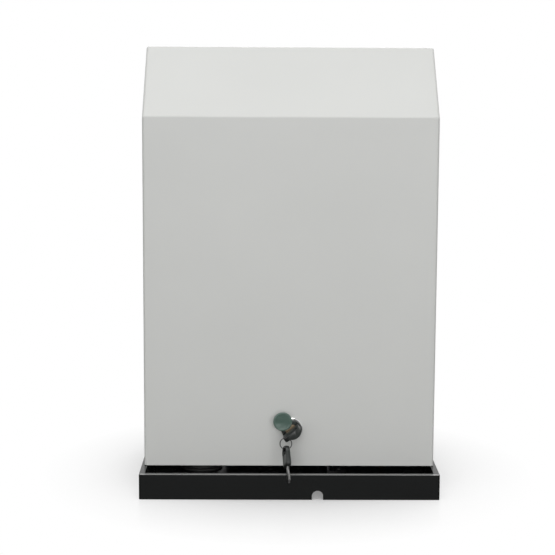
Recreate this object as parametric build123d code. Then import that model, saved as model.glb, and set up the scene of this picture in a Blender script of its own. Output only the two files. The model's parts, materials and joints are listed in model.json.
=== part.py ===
"""Sliding gate motor: a worm-geared drive unit on a recessed cast base, under a locked sheet-metal cover.

Millimetres. X runs to the right, Y away from the viewer, Z up. The origin is the centre of the base's
footprint, on the surface that it is bolted to.
"""
from build123d import *
from math import atan, cos, degrees, hypot, pi, radians, sin, tan
import os

# Base casting
BASE_WIDTH = 306.0
BASE_DEPTH = 243.0
BASE_HEIGHT = 26.0
BASE_RIM = 6.0
BASE_CORNER = 2.0
BASE_EDGE_ROUND = 0.6
WEB_TOP = 16.0
WEB_THICKNESS = 6.0
NOTCH_X = 28.6
NOTCH_WIDTH = 11.5
NOTCH_HEIGHT = 9.4
FOUNDATION_INSET_X = 23.0
FOUNDATION_INSET_Y = 51.5
FOUNDATION_SLOT_WIDTH = 11.0
FOUNDATION_SLOT_LENGTH = 25.0
FOUNDATION_PAD = 34.0
CABLE_INSET_X = 61.0
CABLE_Y = -52.0
CABLE_HOLE = 38.0
GUIDE_LENGTH = 20.0
GUIDE_HEIGHT = 14.0
GUIDE_THICKNESS = 4.0
GUIDE_Y = (-40.0, 70.0)

# Sheet-metal cover
COVER_INSET = 3.0
COVER_FRONT_LEDGE = 35.0
COVER_SHEET = 1.5
COVER_SEAT_GAP = 0.3
COVER_TOP_Z = 457.0
COVER_SLOPE_RISE = 71.0
COVER_SLOPE_RUN = 66.0
COVER_BEND = 2.6
GUIDE_GAP = 0.5
REAR_SLOT_WIDTH = 112.0
REAR_SLOT_TOP = 196.0
REAR_SLOT_ROUND = 12.0
EDGING_THICKNESS = 3.0
EDGING_DEPTH = 6.0

# Cam lock in the cover
LOCK_X = 2.4
LOCK_Z = 65.8
LOCK_HEAD_RADIUS = 10.3
LOCK_HEAD_HEIGHT = 9.0
ROSETTE_RADIUS = 11.6
ROSETTE_HEIGHT = 2.2
BARREL_RADIUS = 9.5
BARREL_LENGTH = 16.0
LOCK_NUT_RADIUS = 13.0
LOCK_NUT_HEIGHT = 5.0
CORE_RADIUS = 6.2
CAM_LENGTH = 30.0
CAM_WIDTH = 10.0
CAM_THICKNESS = 2.0
STRIKE_X = 40.0
STRIKE_THICKNESS = 2.5
LOCK_GAP = 0.3
RUNNING_FIT = 0.05
KEY_ANGLE = 40.6

# Dust cap, keys and ring
CAP_RADIUS = 9.7
CAP_THICKNESS = 1.6
CAP_PIVOT_X = -1.0
CAP_PIVOT_Z = 8.3
CAP_OPEN_ANGLE = 104.5
CAP_PIN_RADIUS = 1.0
BOW_WIDTH = 20.0
BOW_LENGTH = 21.0
BOW_THICKNESS = 4.2
BOW_CORNER = 7.5
BOW_WEB = 2.2
BOW_HOLE = 14.4
BOW_HOLE_HEIGHT = 5.0
BOW_HOLE_INSET = 5.2
BOW_STANDOFF = 2.8
BLADE_WIDTH = 6.2
BLADE_THICKNESS = 2.2
BLADE_LENGTH = 17.0
BLADE_GAP = 0.25
RING_RADIUS = 6.0
RING_WIRE = 0.45
RING_GAP = 0.1
SPARE_TILT = 26.0
SPARE_YAW = 12.0

# Worm gearing
GEAR_MODULE = 3.0
WHEEL_TEETH = 30
WHEEL_FACE = 28.0
WORM_QUOTIENT = 10.0
MESH_BACKLASH = 0.3
OUTPUT_X = -30.0
OUTPUT_Z = 88.0
WHEEL_Y = 35.0
WORM_TURNS = 4.5
PRESSURE_ANGLE = 20.0

# Output shaft and drive pinion
SHAFT_RADIUS = 12.5
SHAFT_FRONT_RADIUS = 10.0
SHAFT_FRONT_Y = -12.0
SHAFT_REAR_MARGIN = 2.0
ROD_RADIUS = 4.0
PINION_MODULE = 4.0
PINION_TEETH = 16
PINION_FACE = 30.0
PINION_GAP = 11.5
CLUTCH_TRAVEL = 6.0
DOG_LENGTH = 5.0
DOG_HALF_ANGLE = 20.0

# Gearbox casting
GEARCASE_RADIUS = 60.0
GEARCASE_WALL = 8.0
GEARCASE_FRONT_Y = -2.0
GEARCASE_REAR_Y = 74.0
NECK_RADIUS = 34.0
NECK_OVERHANG = 5.5
LID_THICKNESS = 8.0
GASKET_THICKNESS = 1.0
LID_SCREWS = 6
LID_BOSS_HEIGHT = 10.0
TOWER_RADIUS = 30.0
FOOT_THICKNESS = 9.0
FLANGE_TOP_Z = 158.0
FLANGE_THICKNESS = 8.0
FLANGE_MARGIN = 7.0

# Motor
STATOR_CASE_RADIUS = 55.0
STATOR_CASE_WALL = 5.0
SMALL_BEARING_BORE = 7.5
SMALL_BEARING_RADIUS = 17.5
LOWER_BEARING_Z = 38.0
LOWER_BEARING_WIDTH = 11.0
UPPER_BEARING_BORE = 10.0
UPPER_BEARING_Z = 130.0
LARGE_BEARING_RADIUS = 23.5
LARGE_BEARING_WIDTH = 14.0
FIN_HEIGHT = 8.0
FIN_COUNT = 26
FIN_THICKNESS = 2.4
MOTOR_HEADROOM = 71.0
SHIELD_THICKNESS = 12.0
ROTOR_RADIUS = 29.0
AIR_GAP = 0.6
STACK_MARGIN = 30.0
WINDING_LENGTH = 18.0
FAN_CLEARANCE = 10.0
FAN_BLADES = 9
COWL_MARGIN = 5.0
COWL_HEIGHT = 56.0
COWL_SHEET = 1.4

# Electronics and limit switch
PANEL_FRONT_Y = -33.0
PANEL_THICKNESS = 2.0
PANEL_SIDE_GAP = 25.0
PANEL_RIGHT_X = 65.0
PANEL_FOLD_GAP = 30.0
PANEL_CORNER = 6.0
PANEL_LEG_WIDTH = 20.0
BOARD_THICKNESS = 1.6
BOARD_STANDOFF = 6.0
BOARD_MARGIN = 10.0
CAPACITOR_RADIUS = 19.0
CAPACITOR_INSET = 42.0
CAPACITOR_MARGIN = 28.0
CAPACITOR_HEIGHT = 92.0
TERMINAL_MARGIN = 16.0
TERMINAL_TOP = 18.0
RELAY_BOTTOM = 46.0
RELAY_TOP = 18.0
TRANSFORMER_BOTTOM = 60.0
TRANSFORMER_LEFT = 14.0
TRANSFORMER_WIDTH = 44.0
SWITCH_BOX_WIDTH = 56.0
SWITCH_BOX_HEIGHT = 44.0
SWITCH_BOX_OVERHANG = 17.5
WAND_LENGTH = 62.0
WAND_RADIUS = 1.6
WAND_PIVOT_DROP = 12.0

# Derived sizes and places
FOUNDATION_SPACING_X = BASE_WIDTH - 2 * FOUNDATION_INSET_X
FOUNDATION_SPACING_Y = BASE_DEPTH - 2 * FOUNDATION_INSET_Y
CABLE_X = CABLE_INSET_X - BASE_WIDTH / 2
COVER_WIDTH = BASE_WIDTH - 2 * COVER_INSET
COVER_FRONT_Y = COVER_FRONT_LEDGE - BASE_DEPTH / 2
COVER_REAR_Y = BASE_DEPTH / 2 - COVER_INSET
COVER_FOLD_Z = COVER_TOP_Z - COVER_SLOPE_RISE
NECK_END_Y = COVER_REAR_Y + NECK_OVERHANG
PINION_FRONT_Y = COVER_REAR_Y + PINION_GAP
SHAFT_REAR_Y = PINION_FRONT_Y + PINION_FACE + SHAFT_REAR_MARGIN
SWITCH_BOX_END_Y = COVER_REAR_Y + SWITCH_BOX_OVERHANG
FLANGE_RADIUS = STATOR_CASE_RADIUS + FLANGE_MARGIN
STATOR_BORE_RADIUS = STATOR_CASE_RADIUS - STATOR_CASE_WALL
FIN_TIP_RADIUS = STATOR_CASE_RADIUS + FIN_HEIGHT
COWL_RADIUS = STATOR_CASE_RADIUS + COWL_MARGIN
FAN_RADIUS = COWL_RADIUS - FAN_CLEARANCE
COVER_BOTTOM_Z = BASE_HEIGHT + COVER_SEAT_GAP
WEB_BOTTOM = WEB_TOP - WEB_THICKNESS
WHEEL_PITCH_RADIUS = GEAR_MODULE * WHEEL_TEETH / 2
WORM_PITCH_RADIUS = GEAR_MODULE * WORM_QUOTIENT / 2
MOTOR_X = OUTPUT_X + WHEEL_PITCH_RADIUS + WORM_PITCH_RADIUS
MOTOR_Y = WHEEL_Y
LEAD_ANGLE = degrees(atan(1 / WORM_QUOTIENT))
WORM_PITCH = pi * GEAR_MODULE
CAP_X = LOCK_X + CAP_PIVOT_X
CAP_Z = LOCK_Z + CAP_PIVOT_Z
HEAD_FACE_Y = COVER_FRONT_Y - LOCK_HEAD_HEIGHT
BOW_START_Y = HEAD_FACE_Y - BOW_STANDOFF
CAM_Y = COVER_FRONT_Y + BARREL_LENGTH + LOCK_GAP
RING_Y = BOW_START_Y - BOW_LENGTH + BOW_HOLE_INSET
SPARE_HOLE = BOW_HOLE_INSET - BOW_HOLE_HEIGHT / 2 + RING_WIRE + RING_GAP - BOW_LENGTH
DOG_START_Y = WHEEL_Y + WHEEL_FACE / 2
CLUTCH_PIN_Y = DOG_START_Y + DOG_LENGTH + 3.4
LEVER_FACE_Y = GEARCASE_FRONT_Y - GASKET_THICKNESS - LID_THICKNESS - LID_BOSS_HEIGHT
COWL_TOP_Z = COVER_TOP_Z - MOTOR_HEADROOM
MOTOR_CASE_TOP_Z = COWL_TOP_Z - COWL_HEIGHT
STACK_BOTTOM_Z = FLANGE_TOP_Z + STACK_MARGIN - 6
STACK_TOP_Z = MOTOR_CASE_TOP_Z - STACK_MARGIN
PANEL_X = (PANEL_SIDE_GAP - COVER_WIDTH / 2, PANEL_RIGHT_X)
PANEL_Z = (FLANGE_TOP_Z + 10, COVER_FOLD_Z - PANEL_FOLD_GAP)
CAPACITOR_X = PANEL_X[0] + CAPACITOR_INSET
CAPACITOR_Z = PANEL_Z[0] + CAPACITOR_MARGIN
SWITCH_BOX_Z = OUTPUT_Z + NECK_RADIUS + 4
WAND_PIVOT_Z = SWITCH_BOX_Z + SWITCH_BOX_HEIGHT - WAND_PIVOT_DROP
PANEL_BACK_Y = PANEL_FRONT_Y + PANEL_THICKNESS
BOARD_BACK_Y = PANEL_FRONT_Y - BOARD_STANDOFF
BOARD_FRONT_Y = BOARD_BACK_Y - BOARD_THICKNESS
PLUG_FACE_X = OUTPUT_X - GEARCASE_RADIUS - 3
CUT = 1.0


def block(x, y, z):
    """A box between two values on each axis."""
    size = [span[1] - span[0] for span in (x, y, z)]
    middle = [(span[1] + span[0]) / 2 for span in (x, y, z)]
    return Pos(*middle) * Box(*size)


def drum(axis, centre, radius, start, end):
    """A cylinder along one axis, round a centre given by its other two coordinates."""
    middle = (start + end) / 2
    length = end - start
    if axis == "X":
        return Pos(middle, *centre) * Rot(0, 90, 0) * Cylinder(radius, length)
    if axis == "Y":
        return Pos(centre[0], middle, centre[1]) * Rot(90, 0, 0) * Cylinder(radius, length)
    return Pos(*centre, middle) * Cylinder(radius, length)


def tube(axis, centre, outer, inner, start, end):
    """A ring or sleeve along one axis."""
    return drum(axis, centre, outer, start, end) - drum(axis, centre, inner, start - CUT, end + CUT)


def hexagon(axis_y, centre, flats, start, end):
    """A hexagonal head along Y or, with axis_y false, along Z."""
    profile = extrude(RegularPolygon(flats / 2, 6, major_radius=False), end - start)
    if axis_y:
        return Pos(centre[0], end, centre[1]) * Rot(90, 0, 0) * profile
    return Pos(*centre, start) * profile


def bearing(axis, centre, inner, outer, start, end):
    """A closed ball bearing with a groove at each side between its rings."""
    middle = (inner + outer) / 2
    groove = 0.6
    width = (outer - inner) * 0.22
    ring = tube(axis, centre, outer, inner, start, end)
    for low, high in ((start - CUT, start + groove), (end - groove, end + CUT)):
        ring -= tube(axis, centre, middle + width, middle - width, low, high)
    return ring


def foundation_points():
    """The four foundation bolt places."""
    return [(sx * FOUNDATION_SPACING_X / 2, sy * FOUNDATION_SPACING_Y / 2)
            for sx in (-1, 1) for sy in (-1, 1)]


def foot_points():
    """The four bolts that hold the gearbox's feet to the base."""
    return [(x, y) for x in (OUTPUT_X - 54, MOTOR_X + 42) for y in (GEARCASE_FRONT_Y + 9, GEARCASE_REAR_Y - 9)]


def lid_points():
    """The screws round the gearbox lid, as X and Z."""
    reach = GEARCASE_RADIUS - 2
    turns = [radians(30 + 360 * i / LID_SCREWS) for i in range(LID_SCREWS)]
    return [(OUTPUT_X + reach * cos(turn), OUTPUT_Z + reach * sin(turn)) for turn in turns]


def flange_points():
    """The four long bolts from the gearbox flange to the motor's top shield."""
    reach = STATOR_CASE_RADIUS + 3.5
    turns = [radians(45 + 90 * i) for i in range(4)]
    return [(MOTOR_X + reach * cos(turn), MOTOR_Y + reach * sin(turn)) for turn in turns]


def panel_foot_points():
    """The screws in the electronics panel's two feet."""
    return [(x, PANEL_BACK_Y + 9) for x in
            (PANEL_X[0] + PANEL_LEG_WIDTH / 2, PANEL_X[1] - PANEL_LEG_WIDTH / 2)]


def board_points():
    """The four screws that hold the control board, as X and Z."""
    inset = BOARD_MARGIN + 8
    return [(x, z) for x in (PANEL_X[0] + inset, PANEL_X[1] - inset)
            for z in (PANEL_Z[0] + inset, PANEL_Z[1] - inset)]


def make_base_frame():
    """The cast base: rim, recessed web, pads, cover guides, and the cable notch in the front skirt."""
    half_x, half_y = BASE_WIDTH / 2, BASE_DEPTH / 2
    body = block((-half_x, half_x), (-half_y, half_y), (0, BASE_HEIGHT))
    body = fillet(body.edges().filter_by(Axis.Z), BASE_CORNER)
    body = fillet(body.faces().sort_by(Axis.Z)[-1].outer_wire().edges(), BASE_EDGE_ROUND)
    inner_x, inner_y = half_x - BASE_RIM, half_y - BASE_RIM
    body -= block((-inner_x, inner_x), (-inner_y, inner_y), (WEB_TOP, BASE_HEIGHT + CUT))
    body -= block((-inner_x, inner_x), (-inner_y, inner_y), (-CUT, WEB_BOTTOM))
    pad = FOUNDATION_PAD / 2
    for x, y in foundation_points():
        body += block((x - pad, x + pad), (y - pad, y + pad), (0, WEB_BOTTOM))
    for x, y in foot_points():
        body += drum("Z", (x, y), 9, 1, WEB_BOTTOM)
    for x, y in foundation_points():
        slot = SlotOverall(FOUNDATION_SLOT_LENGTH, FOUNDATION_SLOT_WIDTH)
        body -= Pos(x, y, -CUT) * extrude(slot, WEB_TOP + 2 * CUT)
    body -= drum("Z", (CABLE_X, CABLE_Y), CABLE_HOLE / 2, 0, WEB_TOP + CUT)
    radius = NOTCH_WIDTH / 2
    front = (-half_y - CUT, -inner_y + CUT)
    body -= block((NOTCH_X - radius, NOTCH_X + radius), front, (-CUT, NOTCH_HEIGHT - radius))
    body -= drum("Y", (NOTCH_X, NOTCH_HEIGHT - radius), radius, *front)
    wall = COVER_WIDTH / 2 - COVER_SHEET - GUIDE_GAP
    for side in (-1, 1):
        for y in GUIDE_Y:
            reach = sorted((side * wall, side * (wall - GUIDE_THICKNESS)))
            guide = block(reach, (y, y + GUIDE_LENGTH), (WEB_TOP, BASE_HEIGHT + GUIDE_HEIGHT))
            top = guide.edges().filter_by(Axis.Y).group_by(Axis.Z)[-1]
            body += chamfer(top, 1.2)
    for x, y in foot_points():
        body -= drum("Z", (x, y), 3.4, 3, WEB_TOP + CUT)
    for x, y in panel_foot_points():
        body -= drum("Z", (x, y), 1.7, WEB_BOTTOM - CUT, WEB_TOP + CUT)
    for x, y in strike_points():
        body -= drum("Z", (x, y), 1.7, WEB_BOTTOM - CUT, WEB_TOP + CUT)
    return body


def make_cable_grommet():
    """A rubber bush that lines the cable hole in the web, with a stepped membrane cone."""
    centre = (CABLE_X, CABLE_Y)
    outer = CABLE_HOLE / 2
    bush = tube("Z", centre, outer, outer - 3, WEB_BOTTOM - 2, WEB_TOP + 2)
    bush += tube("Z", centre, outer + 3, outer - 3, WEB_TOP, WEB_TOP + 2)
    for step in range(2):
        top = WEB_TOP + 2 + 5 * (step + 1)
        radius = outer - 2 - 4 * step
        bush += tube("Z", centre, radius, radius - 5.2, top - 6, top)
    return bush


def strike_points():
    """The two screws in the strike bracket's foot."""
    middle = CAM_Y + CAM_THICKNESS / 2
    return [(STRIKE_X + 12, middle - 6), (STRIKE_X + 12, middle + 10)]


def make_strike_bracket():
    """The bent steel bracket whose lip holds the lock's cam down when it is turned."""
    lip_z = LOCK_Z + CAM_WIDTH / 2 + LOCK_GAP
    span = (CAM_Y - 8, CAM_Y + CAM_THICKNESS + 14)
    upright = block((STRIKE_X, STRIKE_X + STRIKE_THICKNESS), span, (WEB_TOP, lip_z + STRIKE_THICKNESS))
    foot = block((STRIKE_X, STRIKE_X + 20), span, (WEB_TOP, WEB_TOP + STRIKE_THICKNESS))
    lip_span = (CAM_Y - 5, CAM_Y + CAM_THICKNESS + 6)
    lip = block((LOCK_X + 15.6, STRIKE_X + STRIKE_THICKNESS), lip_span, (lip_z, lip_z + STRIKE_THICKNESS))
    body = upright + foot + lip
    for x, y in strike_points():
        body -= drum("Z", (x, y), 2.1, WEB_TOP - CUT, WEB_TOP + STRIKE_THICKNESS + CUT)
    return body


def pan_screw(x, y, seat, radius, depth):
    """A pan-head screw standing on a flat seat, with its shank below."""
    head = drum("Z", (x, y), radius * 1.9, seat, seat + radius * 1.3)
    slot = (seat + radius * 0.7, seat + radius * 2)
    head -= block((x - radius * 1.4, x + radius * 1.4), (y - 0.4, y + 0.4), slot)
    return head + drum("Z", (x, y), radius, seat - depth, seat)


def make_bracket_screws():
    """The screws that hold the strike bracket and the electronics panel to the base."""
    seats = [(point, WEB_TOP + STRIKE_THICKNESS) for point in strike_points()]
    seats += [(point, WEB_TOP + PANEL_THICKNESS) for point in panel_foot_points()]
    return [pan_screw(x, y, seat, 1.7, seat - WEB_BOTTOM) for (x, y), seat in seats]


def make_gearbox_housing():
    """The cast gearbox: wheel case, rear neck, worm tower, motor flange, feet and ribs."""
    wheel = (OUTPUT_X, OUTPUT_Z)
    worm = (MOTOR_X, MOTOR_Y)
    foot_x = (foot_points()[0][0] - 9, foot_points()[-1][0] + 9)
    body = drum("Y", wheel, GEARCASE_RADIUS, GEARCASE_FRONT_Y, GEARCASE_REAR_Y)
    body += drum("Y", wheel, NECK_RADIUS, GEARCASE_REAR_Y, NECK_END_Y)
    for i in range(6):
        along = (GEARCASE_REAR_Y, GEARCASE_REAR_Y + 20)
        rib = block((NECK_RADIUS - 3, GEARCASE_RADIUS - 8), along, (-2.5, 2.5))
        slope_edge = rib.edges().filter_by(Axis.Z).group_by(Axis.Y)[-1].sort_by(Axis.X)[-1]
        rib = chamfer(slope_edge, 14)
        body += Pos(OUTPUT_X, 0, OUTPUT_Z) * Rot(0, 60 * i, 0) * rib
    for x, z in lid_points():
        body += drum("Y", (x, z), 7, GEARCASE_FRONT_Y, GEARCASE_FRONT_Y + 22)
    body += drum("Z", worm, TOWER_RADIUS, WEB_TOP + FOOT_THICKNESS, FLANGE_TOP_Z - FLANGE_THICKNESS)
    body += drum("Z", worm, FLANGE_RADIUS, FLANGE_TOP_Z - FLANGE_THICKNESS, FLANGE_TOP_Z)
    foot = block(foot_x, (GEARCASE_FRONT_Y, GEARCASE_REAR_Y), (WEB_TOP, WEB_TOP + FOOT_THICKNESS))
    body += fillet(foot.edges().filter_by(Axis.Z), 8)
    pedestal = block((OUTPUT_X - 38, MOTOR_X), (GEARCASE_FRONT_Y + 8, GEARCASE_REAR_Y - 8),
                     (WEB_TOP + FOOT_THICKNESS, OUTPUT_Z - 30))
    body += pedestal
    body += drum("X", (WHEEL_Y, OUTPUT_Z), 11, PLUG_FACE_X, OUTPUT_X - GEARCASE_RADIUS + 3)
    inner = GEARCASE_RADIUS - GEARCASE_WALL
    body -= drum("Y", wheel, inner, GEARCASE_FRONT_Y - CUT, GEARCASE_REAR_Y - GEARCASE_WALL)
    body -= drum("Y", wheel, 26, GEARCASE_REAR_Y - 20, NECK_END_Y - 8)
    body -= drum("Y", wheel, 20, NECK_END_Y - 10, NECK_END_Y + CUT)
    body -= drum("Z", worm, 22, 49, 131)
    body -= drum("Z", worm, SMALL_BEARING_RADIUS, LOWER_BEARING_Z, LOWER_BEARING_Z + LOWER_BEARING_WIDTH + 1)
    body -= drum("Z", worm, LARGE_BEARING_RADIUS, UPPER_BEARING_Z, UPPER_BEARING_Z + LARGE_BEARING_WIDTH)
    body -= drum("Z", worm, 14, 143, FLANGE_TOP_Z + CUT)
    body -= drum("X", (WHEEL_Y, OUTPUT_Z), 6, PLUG_FACE_X - CUT, OUTPUT_X - inner + 4)
    for x, y in foot_points():
        body -= drum("Z", (x, y), 4.2, WEB_TOP - CUT, WEB_TOP + FOOT_THICKNESS + CUT)
    for x, z in lid_points():
        body -= drum("Y", (x, z), 2.5, GEARCASE_FRONT_Y - CUT, GEARCASE_FRONT_Y + 16)
    for x, y in flange_points():
        body -= drum("Z", (x, y), 2.5, FLANGE_TOP_Z - FLANGE_THICKNESS - CUT, FLANGE_TOP_Z + CUT)
    return body


def lid_outline(start, end):
    """The lid's outline with its six screw ears, between two values on Y."""
    plate = drum("Y", (OUTPUT_X, OUTPUT_Z), GEARCASE_RADIUS, start, end)
    for x, z in lid_points():
        plate += drum("Y", (x, z), 7, start, end)
    return plate


def make_gearbox_gasket():
    """The thin gasket between the gearbox and its lid."""
    inner = GEARCASE_RADIUS - GEARCASE_WALL
    start, end = GEARCASE_FRONT_Y - GASKET_THICKNESS, GEARCASE_FRONT_Y
    ring = lid_outline(start, end) - drum("Y", (OUTPUT_X, OUTPUT_Z), inner, start - CUT, end + CUT)
    for x, z in lid_points():
        ring -= drum("Y", (x, z), 2.6, start - CUT, end + CUT)
    return ring


def make_gearbox_lid():
    """The front lid, with the front bearing's boss, stiffening ribs and the release spindle's hole."""
    back = GEARCASE_FRONT_Y - GASKET_THICKNESS
    front = back - LID_THICKNESS
    centre = (OUTPUT_X, OUTPUT_Z)
    body = lid_outline(front, back)
    body += drum("Y", centre, GEARCASE_RADIUS - GEARCASE_WALL - 0.1, back, back + 5)
    body += drum("Y", centre, 29, front - LID_BOSS_HEIGHT, back + 7)
    for i in range(6):
        rib = block((26, GEARCASE_RADIUS - 10), (front - 6, front), (-2, 2))
        body += Pos(OUTPUT_X, 0, OUTPUT_Z) * Rot(0, 60 * i, 0) * rib
    body -= drum("Y", centre, 23.5, SHAFT_FRONT_Y, back + 8)
    body -= drum("Y", centre, 6 + RUNNING_FIT, LEVER_FACE_Y - CUT, SHAFT_FRONT_Y + CUT)
    for x, z in lid_points():
        body -= drum("Y", (x, z), 2.7, front - CUT, back + CUT)
    return body


def make_lid_screws():
    """The six hexagon screws of the gearbox lid."""
    seat = GEARCASE_FRONT_Y - GASKET_THICKNESS - LID_THICKNESS
    return [hexagon(True, (x, z), 8, seat - 3.5, seat) + drum("Y", (x, z), 2.5, seat, GEARCASE_FRONT_Y + 14)
            for x, z in lid_points()]


def make_gearbox_bolts():
    """The four bolts with washers that hold the gearbox to the base."""
    seat = WEB_TOP + FOOT_THICKNESS
    return [drum("Z", (x, y), 8, seat, seat + 1.6) + hexagon(False, (x, y), 13, seat + 1.6, seat + 7)
            + drum("Z", (x, y), 3.4, 4, seat) for x, y in foot_points()]


def make_oil_plug():
    """The oil level plug on the gearbox's left side."""
    centre = (WHEEL_Y, OUTPUT_Z)
    hexagon = extrude(RegularPolygon(8.5, 6, major_radius=False), 6)
    head = Pos(PLUG_FACE_X - 6, *centre) * Rot(0, 90, 0) * hexagon
    return head + drum("X", centre, 10, PLUG_FACE_X - 1.2, PLUG_FACE_X) \
        + drum("X", centre, 6, PLUG_FACE_X - CUT, PLUG_FACE_X + 7)


def gear_outline(module, teeth, thickness_angle, outer_radius, root_radius, turn):
    """A closed gear outline with straight-sided flanks through the pitch circle."""
    pitch_radius = module * teeth / 2
    corners = []
    slope = tan(radians(PRESSURE_ANGLE))
    for tooth in range(teeth):
        centre = turn + 2 * pi * tooth / teeth
        flank = []
        for radius in (root_radius, pitch_radius, outer_radius):
            half = thickness_angle / 2 - (radius - pitch_radius) * slope / radius
            flank.append((radius, half))
        for radius, half in flank:
            corners.append((radius * cos(centre - half), radius * sin(centre - half)))
        for radius, half in reversed(flank):
            corners.append((radius * cos(centre + half), radius * sin(centre + half)))
    return make_face(Polyline(*corners, close=True))


def make_worm_wheel():
    """The bronze helical rim that the worm drives, with a bolted web and lightening holes."""
    helix_turn = WHEEL_FACE / 2 * tan(radians(LEAD_ANGLE)) / WHEEL_PITCH_RADIUS
    thickness = (pi * GEAR_MODULE / 2 - MESH_BACKLASH) / WHEEL_PITCH_RADIUS
    outer = WHEEL_PITCH_RADIUS + GEAR_MODULE
    root = WHEEL_PITCH_RADIUS - 1.25 * GEAR_MODULE
    sections = []
    for side in (-1, 0, 1):
        outline = gear_outline(GEAR_MODULE, WHEEL_TEETH, thickness, outer, root, side * helix_turn)
        sections.append(Pos(0, 0, side * WHEEL_FACE / 2) * outline)
    rim = loft(sections, ruled=True)
    rim -= Cylinder(WHEEL_PITCH_RADIUS - 12, WHEEL_FACE + 2 * CUT)
    web = Cylinder(WHEEL_PITCH_RADIUS - 11.5, 10)
    for i in range(6):
        turn = radians(60 * i)
        web -= Pos(24 * cos(turn), 24 * sin(turn), 0) * Cylinder(5, 12)
    wheel = rim + web - Cylinder(17, WHEEL_FACE + 2 * CUT)
    return Pos(OUTPUT_X, WHEEL_Y, OUTPUT_Z) * Rot(90, 0, 0) * wheel


def dog_sector(inner, outer, start, end, turn, half_angle):
    """One clutch dog: a sector of a ring round the output axis."""
    ring = tube("Y", (0, 0), outer, inner, start, end)
    reach = outer * 2
    corners = [(0, 0)]
    for angle in (-half_angle, 0, half_angle):
        corners.append((reach * cos(radians(turn + angle)), reach * sin(radians(turn + angle))))
    wedge = Pos(0, end, 0) * Rot(90, 0, 0) * extrude(make_face(Polyline(*corners, close=True)), end - start)
    return Pos(OUTPUT_X, 0, OUTPUT_Z) * (ring & wedge)


def make_wheel_hub():
    """The steel hub of the worm wheel, with four dogs on its rear face for the release clutch."""
    centre = (OUTPUT_X, OUTPUT_Z)
    hub = tube("Y", centre, 17, SHAFT_RADIUS, WHEEL_Y - WHEEL_FACE / 2, DOG_START_Y)
    for i in range(4):
        hub += dog_sector(SHAFT_RADIUS, 17, DOG_START_Y - CUT, DOG_START_Y + DOG_LENGTH, 90 * i, DOG_HALF_ANGLE)
    return hub


def make_clutch_ring():
    """The sliding clutch ring, with dogs that stand between the hub's dogs."""
    start = DOG_START_Y + DOG_LENGTH + 0.4
    ring = tube("Y", (OUTPUT_X, OUTPUT_Z), 20, SHAFT_RADIUS + RUNNING_FIT, start, start + 6)
    for i in range(4):
        ring += dog_sector(SHAFT_RADIUS + 0.3, 17, DOG_START_Y + 0.4, start + CUT, 90 * i + 45, DOG_HALF_ANGLE)
    return ring


def make_push_rod():
    """The rod inside the output shaft and its cross pin, which carry the clutch ring."""
    centre = (OUTPUT_X, OUTPUT_Z)
    rod = drum("Y", centre, ROD_RADIUS - RUNNING_FIT, SHAFT_FRONT_Y - 0.4, CLUTCH_PIN_Y + 4)
    pin = drum("X", (CLUTCH_PIN_Y, OUTPUT_Z), 1.8, OUTPUT_X - SHAFT_RADIUS + 0.2, OUTPUT_X + SHAFT_RADIUS - 0.2)
    return rod + pin


def make_output_shaft():
    """The stepped output shaft, hollow for the push rod, with the cross pin's slot and the key seat."""
    centre = (OUTPUT_X, OUTPUT_Z)
    shaft = drum("Y", centre, SHAFT_FRONT_RADIUS, SHAFT_FRONT_Y, 4)
    shaft += drum("Y", centre, SHAFT_RADIUS, 4, SHAFT_REAR_Y)
    shaft -= drum("Y", centre, ROD_RADIUS, SHAFT_FRONT_Y - CUT, CLUTCH_PIN_Y + 4 + CLUTCH_TRAVEL + 1)
    slot = (CLUTCH_PIN_Y - 2.2, CLUTCH_PIN_Y + CLUTCH_TRAVEL + 2.4)
    shaft -= block((OUTPUT_X - 14, OUTPUT_X + 14), slot, (OUTPUT_Z - 2.1, OUTPUT_Z + 2.1))
    key_z = OUTPUT_Z + SHAFT_RADIUS
    keyway = (PINION_FRONT_Y + 3, SHAFT_REAR_Y + CUT)
    shaft -= block((OUTPUT_X - 4, OUTPUT_X + 4), keyway, (key_z - 4, key_z + CUT))
    shaft -= drum("Y", centre, 3.4, SHAFT_REAR_Y - 20, SHAFT_REAR_Y + CUT)
    return shaft


def involute_point(base_radius, roll, start_angle, side):
    """A point on an involute flank that leaves the base circle at start_angle."""
    radius = base_radius * hypot(1, roll)
    angle = start_angle + side * (roll - atan(roll))
    return (radius * cos(angle), radius * sin(angle))


def make_drive_pinion():
    """The steel pinion that drives the gate's rack: involute teeth, hub and keyed bore."""
    pitch_radius = PINION_MODULE * PINION_TEETH / 2
    base_radius = pitch_radius * cos(radians(PRESSURE_ANGLE))
    outer = pitch_radius + PINION_MODULE
    root = pitch_radius - 1.25 * PINION_MODULE
    top_roll = (outer ** 2 / base_radius ** 2 - 1) ** 0.5
    pitch_roll = tan(radians(PRESSURE_ANGLE))
    half_base = pi / (2 * PINION_TEETH) + pitch_roll - radians(PRESSURE_ANGLE)
    steps = 3
    corners = []
    for tooth in range(PINION_TEETH):
        centre = 2 * pi * tooth / PINION_TEETH + pi / 2
        corners.append((root * cos(centre - half_base), root * sin(centre - half_base)))
        for step in range(steps + 1):
            corners.append(involute_point(base_radius, top_roll * step / steps, centre - half_base, 1))
        for step in reversed(range(steps + 1)):
            corners.append(involute_point(base_radius, top_roll * step / steps, centre + half_base, -1))
        corners.append((root * cos(centre + half_base), root * sin(centre + half_base)))
    gear = extrude(make_face(Polyline(*corners, close=True)), PINION_FACE)
    gear += Pos(0, 0, -1) * Cylinder(root - 4, 2)
    gear -= Cylinder(SHAFT_RADIUS, 3 * PINION_FACE)
    gear -= Pos(0, SHAFT_RADIUS, 0) * Box(8, 6.6, 3 * PINION_FACE)
    return Pos(OUTPUT_X, PINION_FRONT_Y + PINION_FACE, OUTPUT_Z) * Rot(90, 0, 0) * gear


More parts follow.
